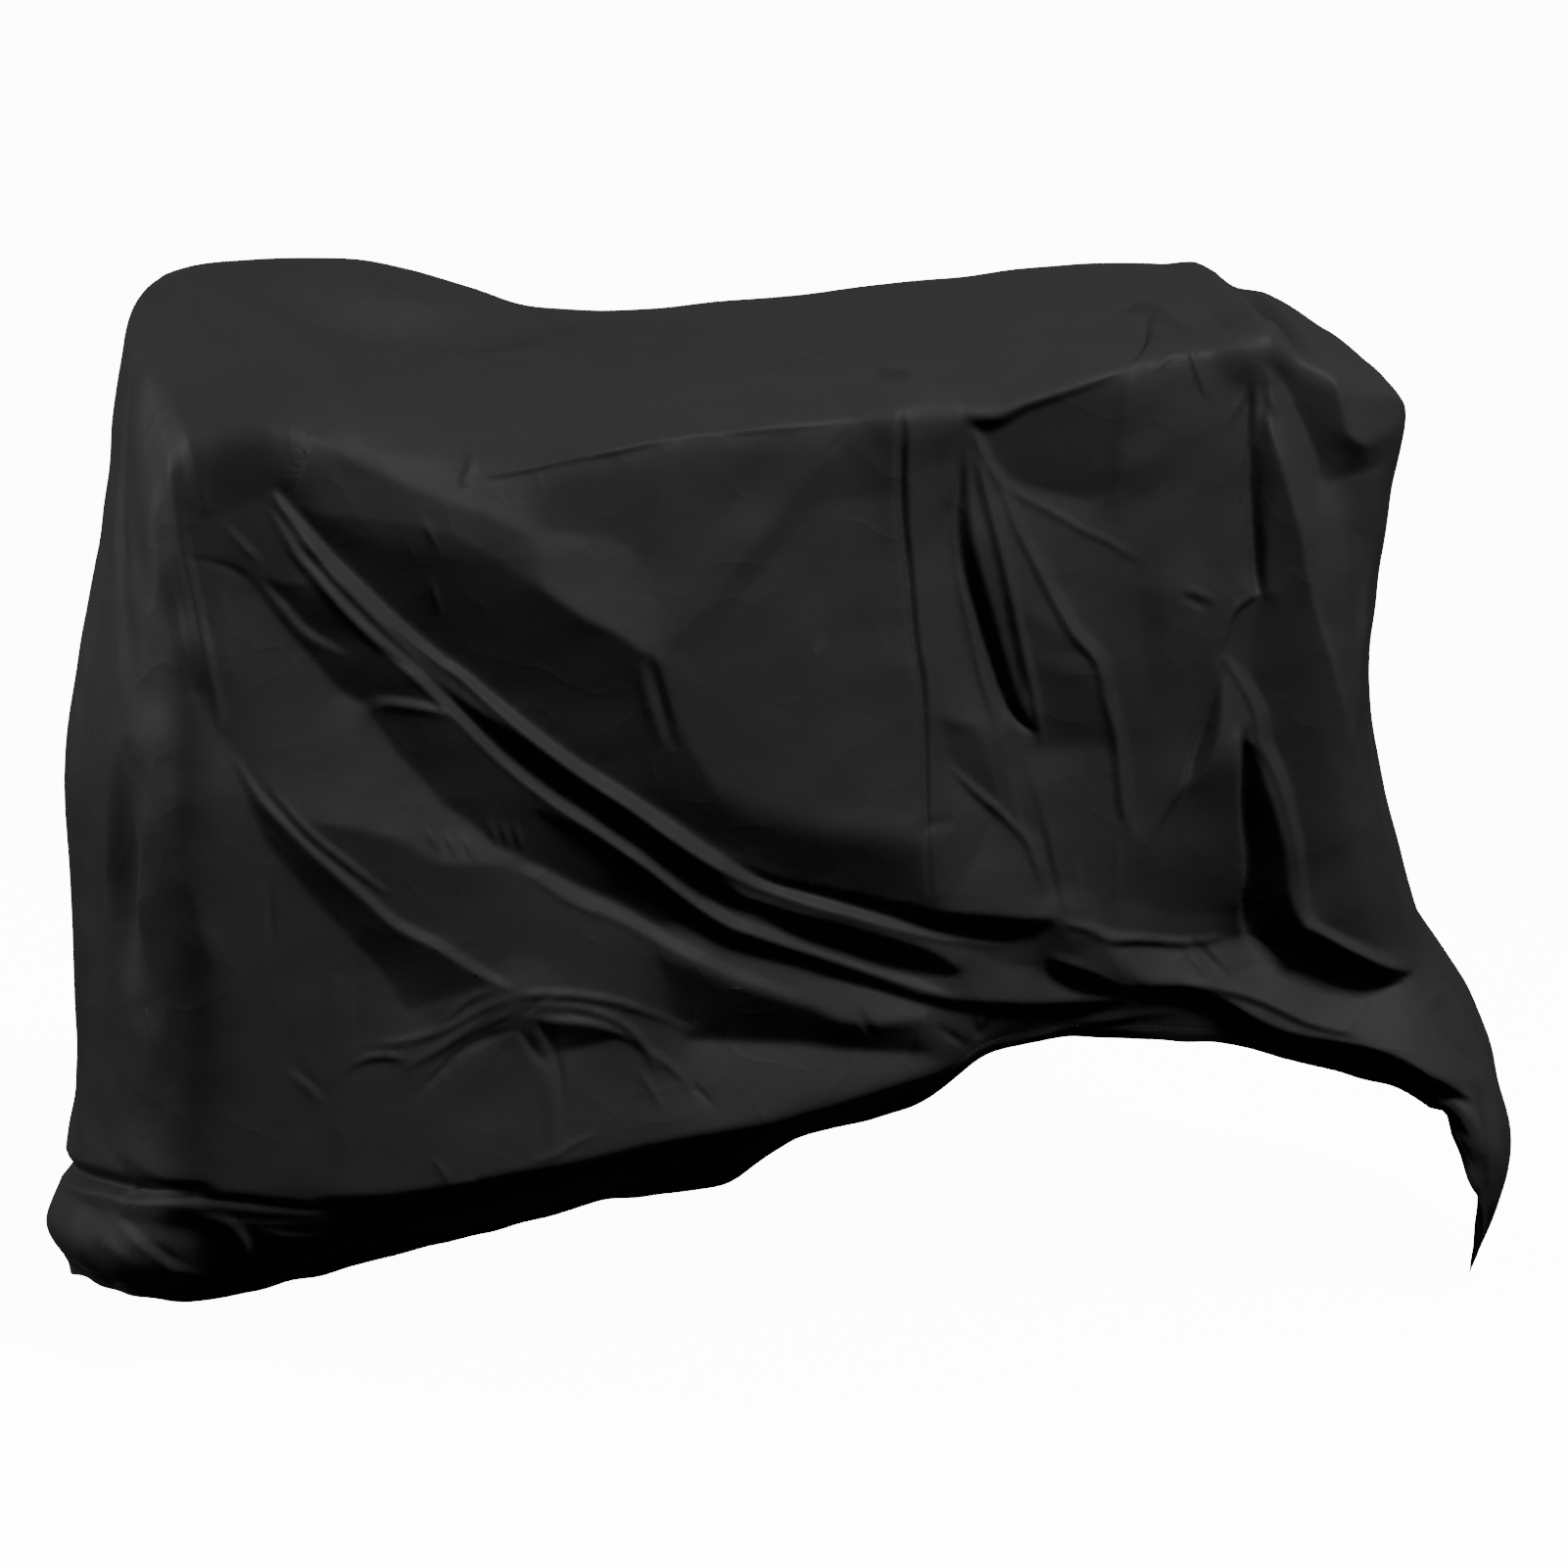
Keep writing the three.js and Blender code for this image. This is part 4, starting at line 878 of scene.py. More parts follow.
# %% The pleats that fan out from the first post, and the top edge
PLEATS += (
    ("first post groove", ((7, 0, -1.7), (0, -5, 2.2)), ((103, 493, 0.4), (98, 560, 0.7),
        (97, 600, 1.0), (97, 690, 1.0), (94, 749, 1.0), (88, 785, 1.0), (82, 869, 1.1),
        (76, 928, 1.2), (74, 964, 1.3), (73, 1020, 1.0), (74, 1050, 0.5))),
    ("fan line one", ((3, 0, 0.9), (0, -5, -0.7)), ((164, 700, 0.4), (156, 747, 0.9),
        (145, 819, 1.0), (136, 878, 1.0), (128, 938, 1.0), (125, 992, 0.8), (124, 1020, 0.4))),
    ("fan groove", ((8, -8, 1.7), (12, 8, -4.0)), ((230, 676, 0.3), (210, 703, 0.9),
        (195, 745, 1.0), (177, 805, 1.0), (160, 865, 1.0), (151, 907, 0.9), (149, 962, 0.6),
        (150, 1000, 0.3))),
    ("fan line two", ((3, 0, 0.8), (0, -4, -1.2)), ((210, 590, 0.4), (198, 650, 0.7),
        (186, 700, 0.9), (170, 758, 0.9), (152, 830, 1.0), (142, 884, 0.9), (139, 950, 0.5))),
    ("fan strand behind", THIN, ((219, 708, 0.5), (212, 768, 1.2), (200, 828, 1.3), (186, 894, 1.3),
        (172, 950, 1.1), (160, 1000, 0.6))),
    ("fan strand beyond", ((3, -3, -1.1), (8, 3, 1.5)), ((242, 664, 0.5), (236, 700, 1.0),
        (222, 762, 1.1), (207, 830, 1.1), (191, 900, 1.0), (177, 960, 0.8), (166, 1010, 0.5))),
    ("fan strand before", ((3, -3, -0.9), (7, 3, 1.3)), ((188, 690, 0.5), (172, 745, 1.0),
        (157, 810, 1.0), (147, 870, 1.0), (140, 930, 0.8), (138, 985, 0.5))),
    ("fan line low", ((3, -3, 0.7), (-3, -6, -0.5)), ((264, 460, 0.8), (258, 480, 1.0),
        (250, 522, 1.0), (245, 550, 1.0), (234, 595, 0.8), (220, 645, 0.4))),
    ("second fan line low", THIN, ((240, 498, 0.5), (222, 545, 1.0), (206, 590, 0.5))),
    ("crossing line", THIN, ((128, 646, 0.5), (160, 615, 1.0), (196, 582, 1.0), (228, 545, 0.5))),
    ("fan ridge two", ((5, -8, -0.9), (11, 5, 1.2)), ((344, 560, 0.6), (339, 584, 1.0),
        (336, 620, 1.1), (333, 650, 1.1), (327, 680, 1.0), (316, 716, 1.0), (312, 740, 1.1),
        (304, 762, 1.1), (276, 795, 1.0), (252, 838, 0.9), (228, 886, 0.8), (210, 923, 0.7),
        (198, 959, 0.6), (180, 989, 0.6), (164, 1023, 0.5))),
    ("fan ridge two low", ((4, -4, -0.7), (8, 4, 0.6)), ((330, 452, 0.6), (331, 500, 1.0),
        (333, 540, 1.0), (338, 566, 0.8))),
    ("fan ridge three", ((3, -1, 0.8), (-1, -5, -0.9)), ((196, 962, 0.5), (216, 949, 0.9),
        (252, 930, 1.0), (289, 908, 1.0), (318, 894, 1.0), (335, 882, 0.9), (365, 865, 0.4))),
    ("top edge crease", ((4, 0, 0.7), (0, -6, -1.1)), ((-400, 1008, 0.7), (-358, 1013, 1.0),
        (-300, 1022, 1.2), (-253, 1028, 1.3), (-220, 1034, 1.2), (-191, 1036, 0.8),
        (-148, 1040, 0.7), (-82, 1042, 0.8), (-40, 1043, 0.6), (1, 1044, 0.3))),
)
print(len(PLEATS), "pleats so far")

# %% The pleats of the back
PLEATS += (
    ("back edge crease", ((0, -12, -1.1),), ((158, 1042, 0.8), (186, 1042, 1.2), (216, 1056, 1.0),
        (252, 1066, 0.7), (300, 1080, 0.5), (335, 1091, 0.2))),
    ("second post ridge", ((3, 0, -1.7), (0, -7, 2.4)), ((491, 826, 1.1), (488, 870, 1.1),
        (485, 913, 1.0), (482, 967, 0.8), (480, 1032, 0.7), (483, 1070, 0.4))),
    ("second post groove", ((5, -5, 1.2),), ((492, 930, 0.4), (489, 975, 1.0), (493, 1010, 1.0),
        (498, 1045, 0.8), (501, 1062, 0.3))),
    ("fold under the second post", ((6, 0, 0.7), (0, -5, -1.6)), ((448, 768, 0.5), (452, 782, 0.9),
        (460, 806, 1.0), (474, 820, 1.0), (492, 828, 0.5))),
    ("back ridge", ((3, -4, -0.9), (6, 3, 0.9)), ((690, 420, 0.4), (668, 470, 0.8), (646, 524, 1.0),
        (629, 578, 1.0), (612, 633, 1.0), (595, 687, 1.0), (573, 758, 1.0), (553, 818, 0.9),
        (544, 856, 0.8), (536, 900, 0.7), (522, 949, 0.7), (511, 993, 0.6), (499, 1036, 0.5))),
    ("fork ridge", ((6, -8, -0.8), (10, 6, 1.3)), ((552, 445, 0.5), (549, 470, 0.6),
        (543, 517, 0.7), (531, 571, 0.8), (515, 621, 1.0), (499, 654, 1.1), (493, 692, 1.1),
        (476, 725, 0.9), (452, 757, 0.5))),
    ("wedge under the fork", ((8, -8, 1.9), (12, 8, -3.8)), ((404, 604, 0.3), (420, 634, 0.9),
        (433, 668, 1.0), (440, 705, 0.7), (444, 740, 0.3))),
    ("left line of the fork", ((4, -3, 1.0), (-3, -8, -1.6)), ((362, 535, 0.4), (380, 575, 0.8),
        (399, 609, 1.0), (410, 647, 1.0), (426, 700, 1.0), (443, 752, 0.7))),
    ("left wall of the deep hollow", ((4, -4, 5.0),), ((470, 668, 0.4), (471, 638, 0.8),
        (475, 574, 1.0), (486, 501, 1.0), (483, 451, 1.0), (488, 420, 0.6))),
    ("ridge over the hollow", ((5, -4, 0.8), (-4, -7, -1.0)), ((556, 440, 0.5), (572, 428, 0.9),
        (600, 411, 1.0), (640, 389, 1.0), (680, 370, 0.9), (706, 358, 0.4))),
)
print(len(PLEATS), "pleats so far")

# %% The pleats of the roll, the knot and the hem, and a few last lines
PLEATS += (
    ("under the roll", ((7, -7, -1.5), (-7, -10, 1.2)), ((330, 366, 0.4), (400, 360, 1.2),
        (452, 342, 1.3), (492, 315, 1.3), (538, 292, 1.2), (568, 284, 1.1), (629, 272, 1.1),
        (680, 249, 1.1), (720, 231, 1.0), (752, 212, 0.5))),
    ("roll top line", THIN, ((262, 456, 0.6), (298, 446, 1.2), (319, 434, 1.4), (361, 427, 1.2),
        (418, 418, 1.0), (461, 419, 0.6))),
    ("line along the roll", ((3, 0, -0.5), (0, -3, 1.1)), ((450, 372, 0.5), (500, 384, 1.0),
        (540, 376, 1.2), (580, 352, 1.2), (620, 326, 1.0), (650, 310, 0.5))),
    ("second line along the roll", THIN, ((400, 374, 0.4), (452, 364, 0.9), (505, 346, 1.0),
        (560, 318, 0.9), (612, 302, 0.5))),
    ("line across the roll", ((3, 0, -0.9), (0, -3, 0.8)), ((424, 420, 0.5), (446, 396, 1.0),
        (470, 370, 0.9), (484, 352, 0.5))),
    ("line before the roll", ((3, 0, -0.9), (0, -3, 0.6)), ((313, 430, 0.6), (334, 402, 1.0),
        (350, 378, 1.0), (368, 350, 0.5))),
    ("knot ridge right", ((4, -2, 0.9), (-2, -7, -1.1)), ((-372, 400, 0.5), (-350, 402, 1.0),
        (-307, 398, 1.1), (-254, 386, 1.0), (-212, 368, 0.8), (-164, 344, 0.4))),
    ("knot ridge low right", THIN, ((-360, 374, 0.5), (-325, 370, 0.9), (-284, 364, 1.0),
        (-248, 348, 1.0), (-206, 318, 1.0), (-164, 279, 0.5))),
    ("knot crease one", ((4, 0, -1.5), (0, -4, 1.3)), ((-494, 284, 0.4), (-466, 310, 1.0),
        (-436, 336, 1.1), (-409, 349, 1.1), (-372, 360, 0.6))),
    ("knot crease two", ((4, 0, 1.1), (0, -4, -1.3)), ((-505, 352, 0.4), (-470, 362, 0.9),
        (-450, 378, 1.1), (-428, 396, 1.1), (-398, 408, 0.6))),
    ("knot crease three", ((3, 0, 1.0), (0, -4, -1.3)), ((-572, 318, 0.4), (-552, 334, 1.0),
        (-525, 337, 1.0), (-498, 330, 0.5))),
    ("knot crease four", ((6, 0, -1.3), (0, -5, 1.0)), ((-343, 318, 0.4), (-355, 338, 1.0),
        (-366, 356, 0.8))),
    ("knot crease five", ((5, 0, 1.1), (0, -5, -1.1)), ((-470, 330, 0.5), (-436, 352, 1.0),
        (-404, 368, 1.1), (-378, 382, 0.6))),
    ("knot crease six", ((4, 0, -1.1), (0, -4, 1.0)), ((-330, 400, 0.5), (-346, 392, 1.0),
        (-362, 380, 1.0))),
    ("knot crease seven", ((5, 0, -1.0), (0, -5, 1.0)), ((-352, 372, 0.5), (-338, 350, 1.0),
        (-325, 320, 1.1), (-322, 280, 0.8), (-324, 240, 0.4))),
    ("knot strand one", THIN, ((-505, 320, 0.4), (-470, 340, 0.9), (-430, 364, 0.9),
        (-395, 384, 0.5))),
    ("knot strand two", THIN, ((-540, 352, 0.4), (-500, 354, 0.8), (-455, 366, 0.9),
        (-410, 388, 0.9), (-382, 398, 0.5))),
    ("knot strand three", THIN, ((-345, 386, 0.4), (-305, 384, 0.8), (-268, 372, 0.9),
        (-232, 346, 0.9), (-205, 300, 0.5))),
    ("knot strand four", ((3, 0, -1.0), (0, -3, 0.9)), ((-372, 352, 0.5), (-388, 332, 0.9),
        (-412, 300, 0.8), (-420, 280, 0.4))),
    ("lobe line one", ((4, -4, 0.9), (-4, -9, -0.8)), ((-860, 152, 0.5), (-800, 130, 1.0),
        (-745, 92, 1.0), (-705, 62, 0.5))),
    ("lobe line two", ((4, -4, 0.9), (-4, -9, -0.8)), ((-700, 60, 0.5), (-640, 84, 1.0),
        (-570, 112, 1.0), (-530, 122, 0.5))),
    ("lobe line three", THIN, ((-700, 150, 0.5), (-680, 120, 1.1), (-690, 84, 0.6))),
    ("lobe line four", THIN, ((-670, 140, 0.4), (-620, 128, 0.9), (-560, 132, 0.5))),
    ("post line one", THIN, ((484, 1000, 0.4), (488, 1040, 0.8), (490, 1075, 0.5))),
    ("post line two", THIN, ((520, 1000, 0.4), (508, 1040, 0.8), (499, 1080, 0.5))),
    ("post line three", THIN, ((452, 1020, 0.4), (470, 1050, 0.8), (486, 1078, 0.4))),
    ("crease over the knot", ((2.5, 0, -0.7), (0, -2.5, 0.7)), ((-364, 430, 0.6), (-363, 487, 1.0),
        (-364, 541, 0.6))),
    ("hem crease", ((5, 0, -0.5), (0, -6, -1.3), (-6, -11, 0.7)), ((-876, 226, 0.7),
        (-839, 216, 1.0), (-798, 202, 1.1), (-698, 186, 1.1), (-627, 173, 1.0), (-580, 164, 0.8),
        (-560, 152, 0.4))),
    ("second hem crease", ((4, 0, -0.5), (0, -4, -0.9), (-4, -8, 0.6)), ((-735, 168, 0.5),
        (-700, 162, 1.0), (-640, 154, 1.0), (-590, 150, 0.6))),
)
print(len(PLEATS), "pleats")

# %% Tilt the near side, and read its heights at the points of the net
def near_heights():
    tilts = [np.zeros(GRID), np.zeros(GRID)]
    for _, looks, soft, outline in FACETS:
        tilt_facet(tilts, looks, soft, outline)
    for _, bands, path in PLEATS:
        tilt_bands(tilts, bands, path)
    return softened(heights_of(tilts))


def read_grid(field, points):
    first, second = ((points[:, axis] - start) / CELL for axis, start in zip((0, 2), NEAR_LOW))
    column = np.clip(first.astype(int), 0, field.shape[0] - 2)
    row = np.clip(second.astype(int), 0, field.shape[1] - 2)
    share, rise = np.clip(first - column, 0, 1), np.clip(second - row, 0, 1)
    return mix(
        mix(field[column, row], field[column + 1, row], share),
        mix(field[column, row + 1], field[column + 1, row + 1], share),
        rise,
    )


relief = near_heights()
print("the near side stands out by", round(float(relief.max())), "mm")
print("and falls back by", round(float(-relief.min())), "mm")

# %% [markdown]
# ## Soft folds, wrinkles and props
#
# The top, the ends and the far side fall in a few broad folds, and between the pleats of the
# near side the cloth is finely wrinkled. What stands beneath the cover also props it up in a
# few places. A displacement texture could hold all this, but a table row for each fold is
# easier to move. Each fold lifts the cloth along its own normal, highest on its path and
# nothing beyond its width, with a round or a pinched crest.

# %% How a fold lifts the cloth beside its path
FACES = {
    "near": ((0, 2), (0, -1, 0)), "far": ((0, 2), (0, 1, 0)), "front": ((1, 2), (-1, 0, 0)),
    "back": ((1, 2), (1, 0, 0)), "top": ((0, 1), (0, 0, 1)),
}
FACE_FADE = (0.15, 0.55)
CREST = 0.10
MARGIN = 20


def crest(away, crisp):
    soft = (1 - away**2) ** 2
    pinched = (1 - (np.sqrt(away**2 + CREST**2) - CREST) / (np.sqrt(1 + CREST**2) - CREST)) ** 2
    return np.where(away < 1, mix(soft, pinched, crisp), 0)


def lift_of(path, left, right, crisp, first, second):
    steps = drawn(path)
    nearest = np.full(len(first), np.inf)
    lift = np.zeros(len(first))
    for start, end in zip(steps[:-1], steps[1:]):
        share, away, on_left = beside(first, second, start, end)
        away = away / np.where(on_left, left, right)
        closer = away < nearest
        nearest = np.where(closer, away, nearest)
        lift = np.where(closer, mix(start[2], end[2], share), lift)
    return lift * crest(nearest, crisp)


def lifted(points, outward, folds):
    lift = np.zeros(len(points))
    looks = {
        face: smooth(*FACE_FADE, outward @ np.array(way, float)) for face, (_, way) in FACES.items()
    }
    for _, face, left, right, crisp, path in folds:
        first, second = (points[:, axis] for axis in FACES[face][0])
        reach = max(left, right) + MARGIN
        low, high = np.min(path, axis=0) - reach, np.max(path, axis=0) + reach
        near = (
            (looks[face] > 0) & (first > low[0]) & (first < high[0])
            & (second > low[1]) & (second < high[1])
        )
        rise = lift_of(path, left, right, crisp, first[near], second[near])
        lift[near] += looks[face][near] * rise
    return lift


halves = [round(float(crest(0.5, crisp)), 2) for crisp in (0, 1)]
print("half way down its side a soft and a pinched crest keep", halves, "of their height")

# %% The soft folds: name, face, left width, right width, crispness, path with its heights
FOLDS = (
    ("corner lobe", "near", 26, 26, 0.3, ((748, 205, 8), (764, 110, 13), (766, 20, 5))),
    ("back corner hollow", "near", 34, 30, 0.2, ((600, 950, -4), (614, 890, -10), (624, 800, -4))),
    ("slant ridge", "near", 34, 50, 0.3, ((-20, 1005, 3), (-120, 890, 7), (-178, 822, 3))),
    ("front fall ridge", "front", 50, 50, 0.1, ((-25, 1092, 2), (-60, 1010, 3), (-160, 935, 3),
        (-240, 890, 1))),
    ("front fall groove", "front", 34, 34, 0.1, ((40, 1065, -2), (0, 960, -5), (-95, 850, -4),
        (-190, 740, -0.5))),
    ("front big hollow", "front", 55, 50, 0.1, ((-190, 650, -6), (-172, 560, -22), (-168, 480, -22),
        (-205, 400, -6))),
    ("front middle ridge", "front", 60, 60, 0.1, ((60, 900, 4), (40, 650, 12), (20, 400, 10),
        (30, 260, 3))),
    ("front hem crease", "front", 20, 16, 0.5, ((205, 108, -8), (0, 146, -15), (-150, 170, -15),
        (-292, 192, -11))),
    ("front hem swell", "front", 50, 50, 0.1, ((210, 55, 10), (0, 78, 19), (-200, 92, 19),
        (-290, 105, 14))),
    ("top hollow", "top", 90, 70, 0.1, ((-610, 170, -8), (-500, 100, -32), (-390, 85, -32),
        (-262, 150, -9))),
    ("shoulder ridge", "top", 60, 44, 0.4, ((-681, 184, 4), (-650, 60, 12), (-604, -97, 15),
        (-560, -180, 9), (-530, -230, 2))),
    ("first post back", "top", 22, 26, 0.6, ((106, -212, 3), (104, -180, 14), (100, -125, 12),
        (98, -70, 2))),
    ("middle top fold", "top", 24, 36, 0.4, ((-350, -170, 3), (-200, -140, 8), (-40, -70, 8),
        (90, 30, 3))),
    ("middle top hollow", "top", 80, 80, 0.0, ((-170, -60, -6), (-60, -40, -12), (40, 10, -8))),
    ("back top ridge", "top", 40, 42, 0.5, ((546, 235, 8), (536, 80, 13), (524, -80, 17),
        (510, -225, 15))),
    ("top groove behind ridge", "top", 34, 32, 0.2, ((602, 250, -7), (586, 100, -24),
        (571, -60, -22), (560, -205, -7))),
    ("pinch ridge", "top", 16, 16, 0.5, ((392, -55, 4), (411, -108, 12), (436, -165, 10),
        (466, -208, 4))),
    ("pinch groove", "top", 13, 13, 0.4, ((400, -122, -6), (376, -180, -9), (348, -236, -5))),
    ("far ridge one", "far", 70, 80, 0.25, ((-560, 1080, 5), (-600, 760, 16), (-640, 420, 14),
        (-650, 180, 4))),
    ("far ridge two", "far", 80, 60, 0.25, ((-380, 1060, 4), (-330, 760, 14), (-300, 460, 16),
        (-320, 160, 5))),
    ("far hollow", "far", 110, 110, 0.25, ((-150, 980, -6), (-120, 720, -22), (-60, 460, -16),
        (0, 260, -5))),
    ("far ridge three", "far", 60, 70, 0.25, ((60, 1040, 4), (90, 760, 13), (160, 500, 15),
        (200, 280, 4))),
    ("far ridge four", "far", 60, 55, 0.25, ((330, 1060, 5), (340, 800, 15), (390, 560, 13),
        (450, 340, 4))),
    ("far ridge five", "far", 55, 60, 0.25, ((540, 1040, 6), (560, 780, 14), (620, 540, 14),
        (700, 320, 5))),
    ("back end ridge one", "back", 45, 50, 0.25, ((-120, 980, 4), (-100, 740, 13), (-140, 480, 14),
        (-170, 250, 5))),
    ("back end hollow", "back", 55, 55, 0.25, ((0, 960, -4), (10, 700, -14), (20, 440, -12),
        (10, 260, -4))),
    ("back end ridge two", "back", 45, 45, 0.25, ((130, 990, 4), (120, 740, 12), (150, 480, 13),
        (160, 260, 5))),
)
print(len(FOLDS), "folds")

# %% The fine wrinkles of the near side: breadth, path of (x, z, height)
WRINKLES = (
    (5, ((-750, 1120, 2), (-744, 1025, 5), (-736, 937, 6), (-730, 896, 7), (-715, 794, 7),
        (-701, 723, 3))),
    (5, ((-760, 1000, -2), (-752, 900, -4), (-738, 800, -4), (-722, 740, -2))),
    (5, ((-730, 1072, 3), (-721, 1024, 4), (-710, 965, 3))),
    (6, ((-640, 975, 2), (-612, 930, 5), (-590, 915, 3))),
    (4, ((-426, 1000, 3), (-416, 1020, 5), (-406, 1040, 3))),
    (3, ((-476, 955, 1), (-466, 936, 3), (-458, 916, 1))),
    (3, ((-466, 884, 1), (-460, 864, 3), (-453, 843, 1))),
    (9, ((-192, 1020, 2), (-205, 965, 5), (-220, 925, 4), (-236, 895, 2))),
    (5, ((-224, 790, -3), (-212, 750, -8), (-196, 690, -3))),
    (5, ((-236, 780, 2), (-226, 745, 4), (-210, 695, 2))),
    (16, ((-120, 607, -1), (0, 605, -2), (110, 603, -2))),
    (6, ((80, 577, -1), (110, 582, -4), (136, 580, -1))),
    (4, ((240, 560, -2), (250, 515, -4), (262, 468, -2))),
    (4, ((282, 525, 1), (284, 490, 3), (286, 452, 1))),
    (8, ((-576, 480, 1), (-580, 402, 3), (-583, 354, 1))),
    (4, ((-551, 461, -1), (-554, 389, -2), (-554, 353, -1))),
    (7, ((-572, 287, 1), (-574, 245, 2), (-575, 197, 1))),
    (4, ((-654, 548, -1), (-653, 510, -4), (-652, 470, -1))),
    (4, ((-498, 331, 1), (-530, 338, 3), (-560, 330, 1))),
    (9, ((-344, 317, 2), (-335, 293, 4), (-331, 256, 3), (-329, 207, 1))),
    (4, ((-640, 327, 1), (-616, 308, 3), (-599, 289, 1))),
    (3, ((-628, 330, -1), (-606, 312, -2), (-592, 296, -1))),
    (3, ((-469, 215, 2), (-458, 198, 3), (-452, 187, 1), (-428, 190, 3))),
    (3, ((-356, 209, 1), (-330, 214, 3), (-308, 226, 3), (-284, 235, 1))),
    (3, ((-232, 306, 1), (-218, 284, 4), (-204, 258, 1))),
    (3, ((-178, 293, -1), (-160, 275, -4), (-142, 256, -1))),
    (4, ((27, 356, -2), (34, 344, -5), (44, 330, -2))),
    (4, ((121, 334, -2), (138, 321, -6), (154, 309, -2))),
    (5, ((163, 337, -3), (173, 322, -7), (184, 340, -3))),
    (4, ((104, 348, 2), (98, 322, 4), (94, 300, 1))),
    (4, ((404, 827, -2), (418, 821, -4), (434, 813, -1))),
    (4, ((405, 838, 1), (420, 832, 3), (436, 824, 1))),
    (6, ((636, 842, 2), (628, 800, 5), (619, 755, 5), (610, 662, 3))),
    (20, ((402, 960, 2), (394, 860, 5), (382, 760, 5), (374, 680, 2))),
    (16, ((454, 980, 2), (450, 900, 4), (446, 830, 2))),
    (14, ((350, 860, -2), (356, 790, -5), (362, 700, -3))),
    (3, ((372, 1090, 2), (392, 1104, 4), (414, 1112, 3))),
    (3, ((430, 1060, 2), (420, 1088, 5), (414, 1112, 3))),
    (18, ((326, 963, 2), (359, 983, 6), (397, 1030, 3))),
    (9, ((356, 1128, 2), (344, 1078, 6), (330, 1007, 5), (326, 930, 2))),
    (4, ((416, 408, 2), (428, 392, 4), (443, 372, 2))),
    (4, ((426, 414, -2), (440, 398, -4), (453, 382, -1))),
    (5, ((163, 299, 1), (215, 307, 4), (268, 317, 5), (320, 328, 5), (373, 333, 4), (420, 338, 2))),
    (4, ((504, 309, -2), (570, 293, -5), (631, 278, -6), (672, 262, -5), (703, 236, -5),
        (734, 200, -4), (755, 173, -2))),
    (4, ((700, 318, 2), (728, 320, 5), (752, 314, 6), (768, 298, 6), (767, 270, 4))),
    (4, ((728, 287, -2), (748, 269, -5), (764, 252, -6), (782, 232, -3))),
    (8, ((770, 218, -3), (781, 182, -7), (787, 131, -6), (787, 95, -3))),
    (5, ((758, 196, 2), (772, 160, 5), (782, 115, 3))),
    (8, ((-742, 163, 3), (-706, 146, 8), (-690, 128, 9), (-683, 106, 8), (-696, 84, 3))),
    (6, ((-850, 128, 3), (-820, 110, 6), (-790, 99, 5), (-757, 88, 2))),
    (6, ((-676, 78, 2), (-645, 92, 6), (-610, 104, 6), (-571, 119, 5), (-545, 122, 2))),
    (3, ((-780, 126, -1), (-764, 115, -4), (-750, 102, -1))),
    (4, ((-279, 150, 2), (-255, 156, 5), (-237, 160, 3), (-215, 172, 5), (-195, 180, 4),
        (-160, 194, 2))),
    (3, ((-262, 146, -2), (-244, 152, -4), (-222, 164, -3), (-200, 170, -3))),
)
print(len(WRINKLES), "wrinkles")

# %% Rows of short ticks, props beneath the cloth, and stretches that give way
TICKS = (
    {"from": (-474, 600), "step": (22, -7), "run": (16, -30)},
    {"from": (-402, 606), "step": (15, -4), "run": (12, -34)},
)
PEAKS = (
    ("first post", (106, -215, 1066), 20, 100),
    ("second post", (492, -240, 1110), 14, 60),
    ("middle post", (410, -100, 1112), 14, 75),
    ("low knot", (-365, -300, 390), 8, 60),
    ("roll knot", (266, -300, 452), 7, 50),
)
SLOPES = (
    ("shoulder", 110, ((-650, -250, 1074, -4), (-595, -257, 1082, -16), (-540, -260, 1048, -20),
        (-480, -262, 1020, -20), (-420, -262, 1010, -18), (-350, -262, 1016, -10),
        (-290, -262, 1022, -3))),
)
WRINKLE_SHARE, WRINKLE_SPREAD, WRINKLE_CRISP = 0.6, 2.2, 0.3
TICK_COUNT, TICK_SPREAD, TICK_HEIGHT, TICK_END = 3, 7.0, 4.0, 0.5


def wrinkles():
    rows = [("wrinkle", WRINKLE_SPREAD * breadth, path) for breadth, path in WRINKLES]
    for tick in TICKS:
        origin, step, run = (np.array(tick[key]) for key in ("from", "step", "run"))
        for index in range(TICK_COUNT):
            start = origin + step * index
            middle, end = start + run / 2, start + run
            path = ((*start, TICK_END), (*middle, TICK_HEIGHT), (*end, TICK_END))
            rows.append(("tick", TICK_SPREAD, path))
    return [(name, "near", width, width, WRINKLE_CRISP, path) for name, width, path in rows]


def mound(away, height):
    return np.where(away < 1, height * (1 - away**2) ** 2, 0)


def propped(points, peaks):
    rise = np.zeros(len(points))
    for _, place, height, radius in peaks:
        rise += mound(np.linalg.norm(points - place, axis=1) / radius, height)
    return rise


def sloped(points, slopes):
    rise = np.zeros(len(points))
    for _, radius, path in slopes:
        places = np.array(path, float)
        nearest = np.full(len(points), np.inf)
        height = np.zeros(len(points))
        for start, end in zip(places[:-1], places[1:]):
            run = end[:3] - start[:3]
            share = np.clip((points - start[:3]) @ run / (run @ run), 0, 1)
            away = np.linalg.norm(points - start[:3] - share[:, None] * run, axis=1) / radius
            height = np.where(away < nearest, mix(start[3], end[3], share), height)
            nearest = np.minimum(nearest, away)
        rise += mound(nearest, height)
    return rise


print(len(wrinkles()) - len(WRINKLES), "ticks,", len(PEAKS), "props and", len(SLOPES), "slope")

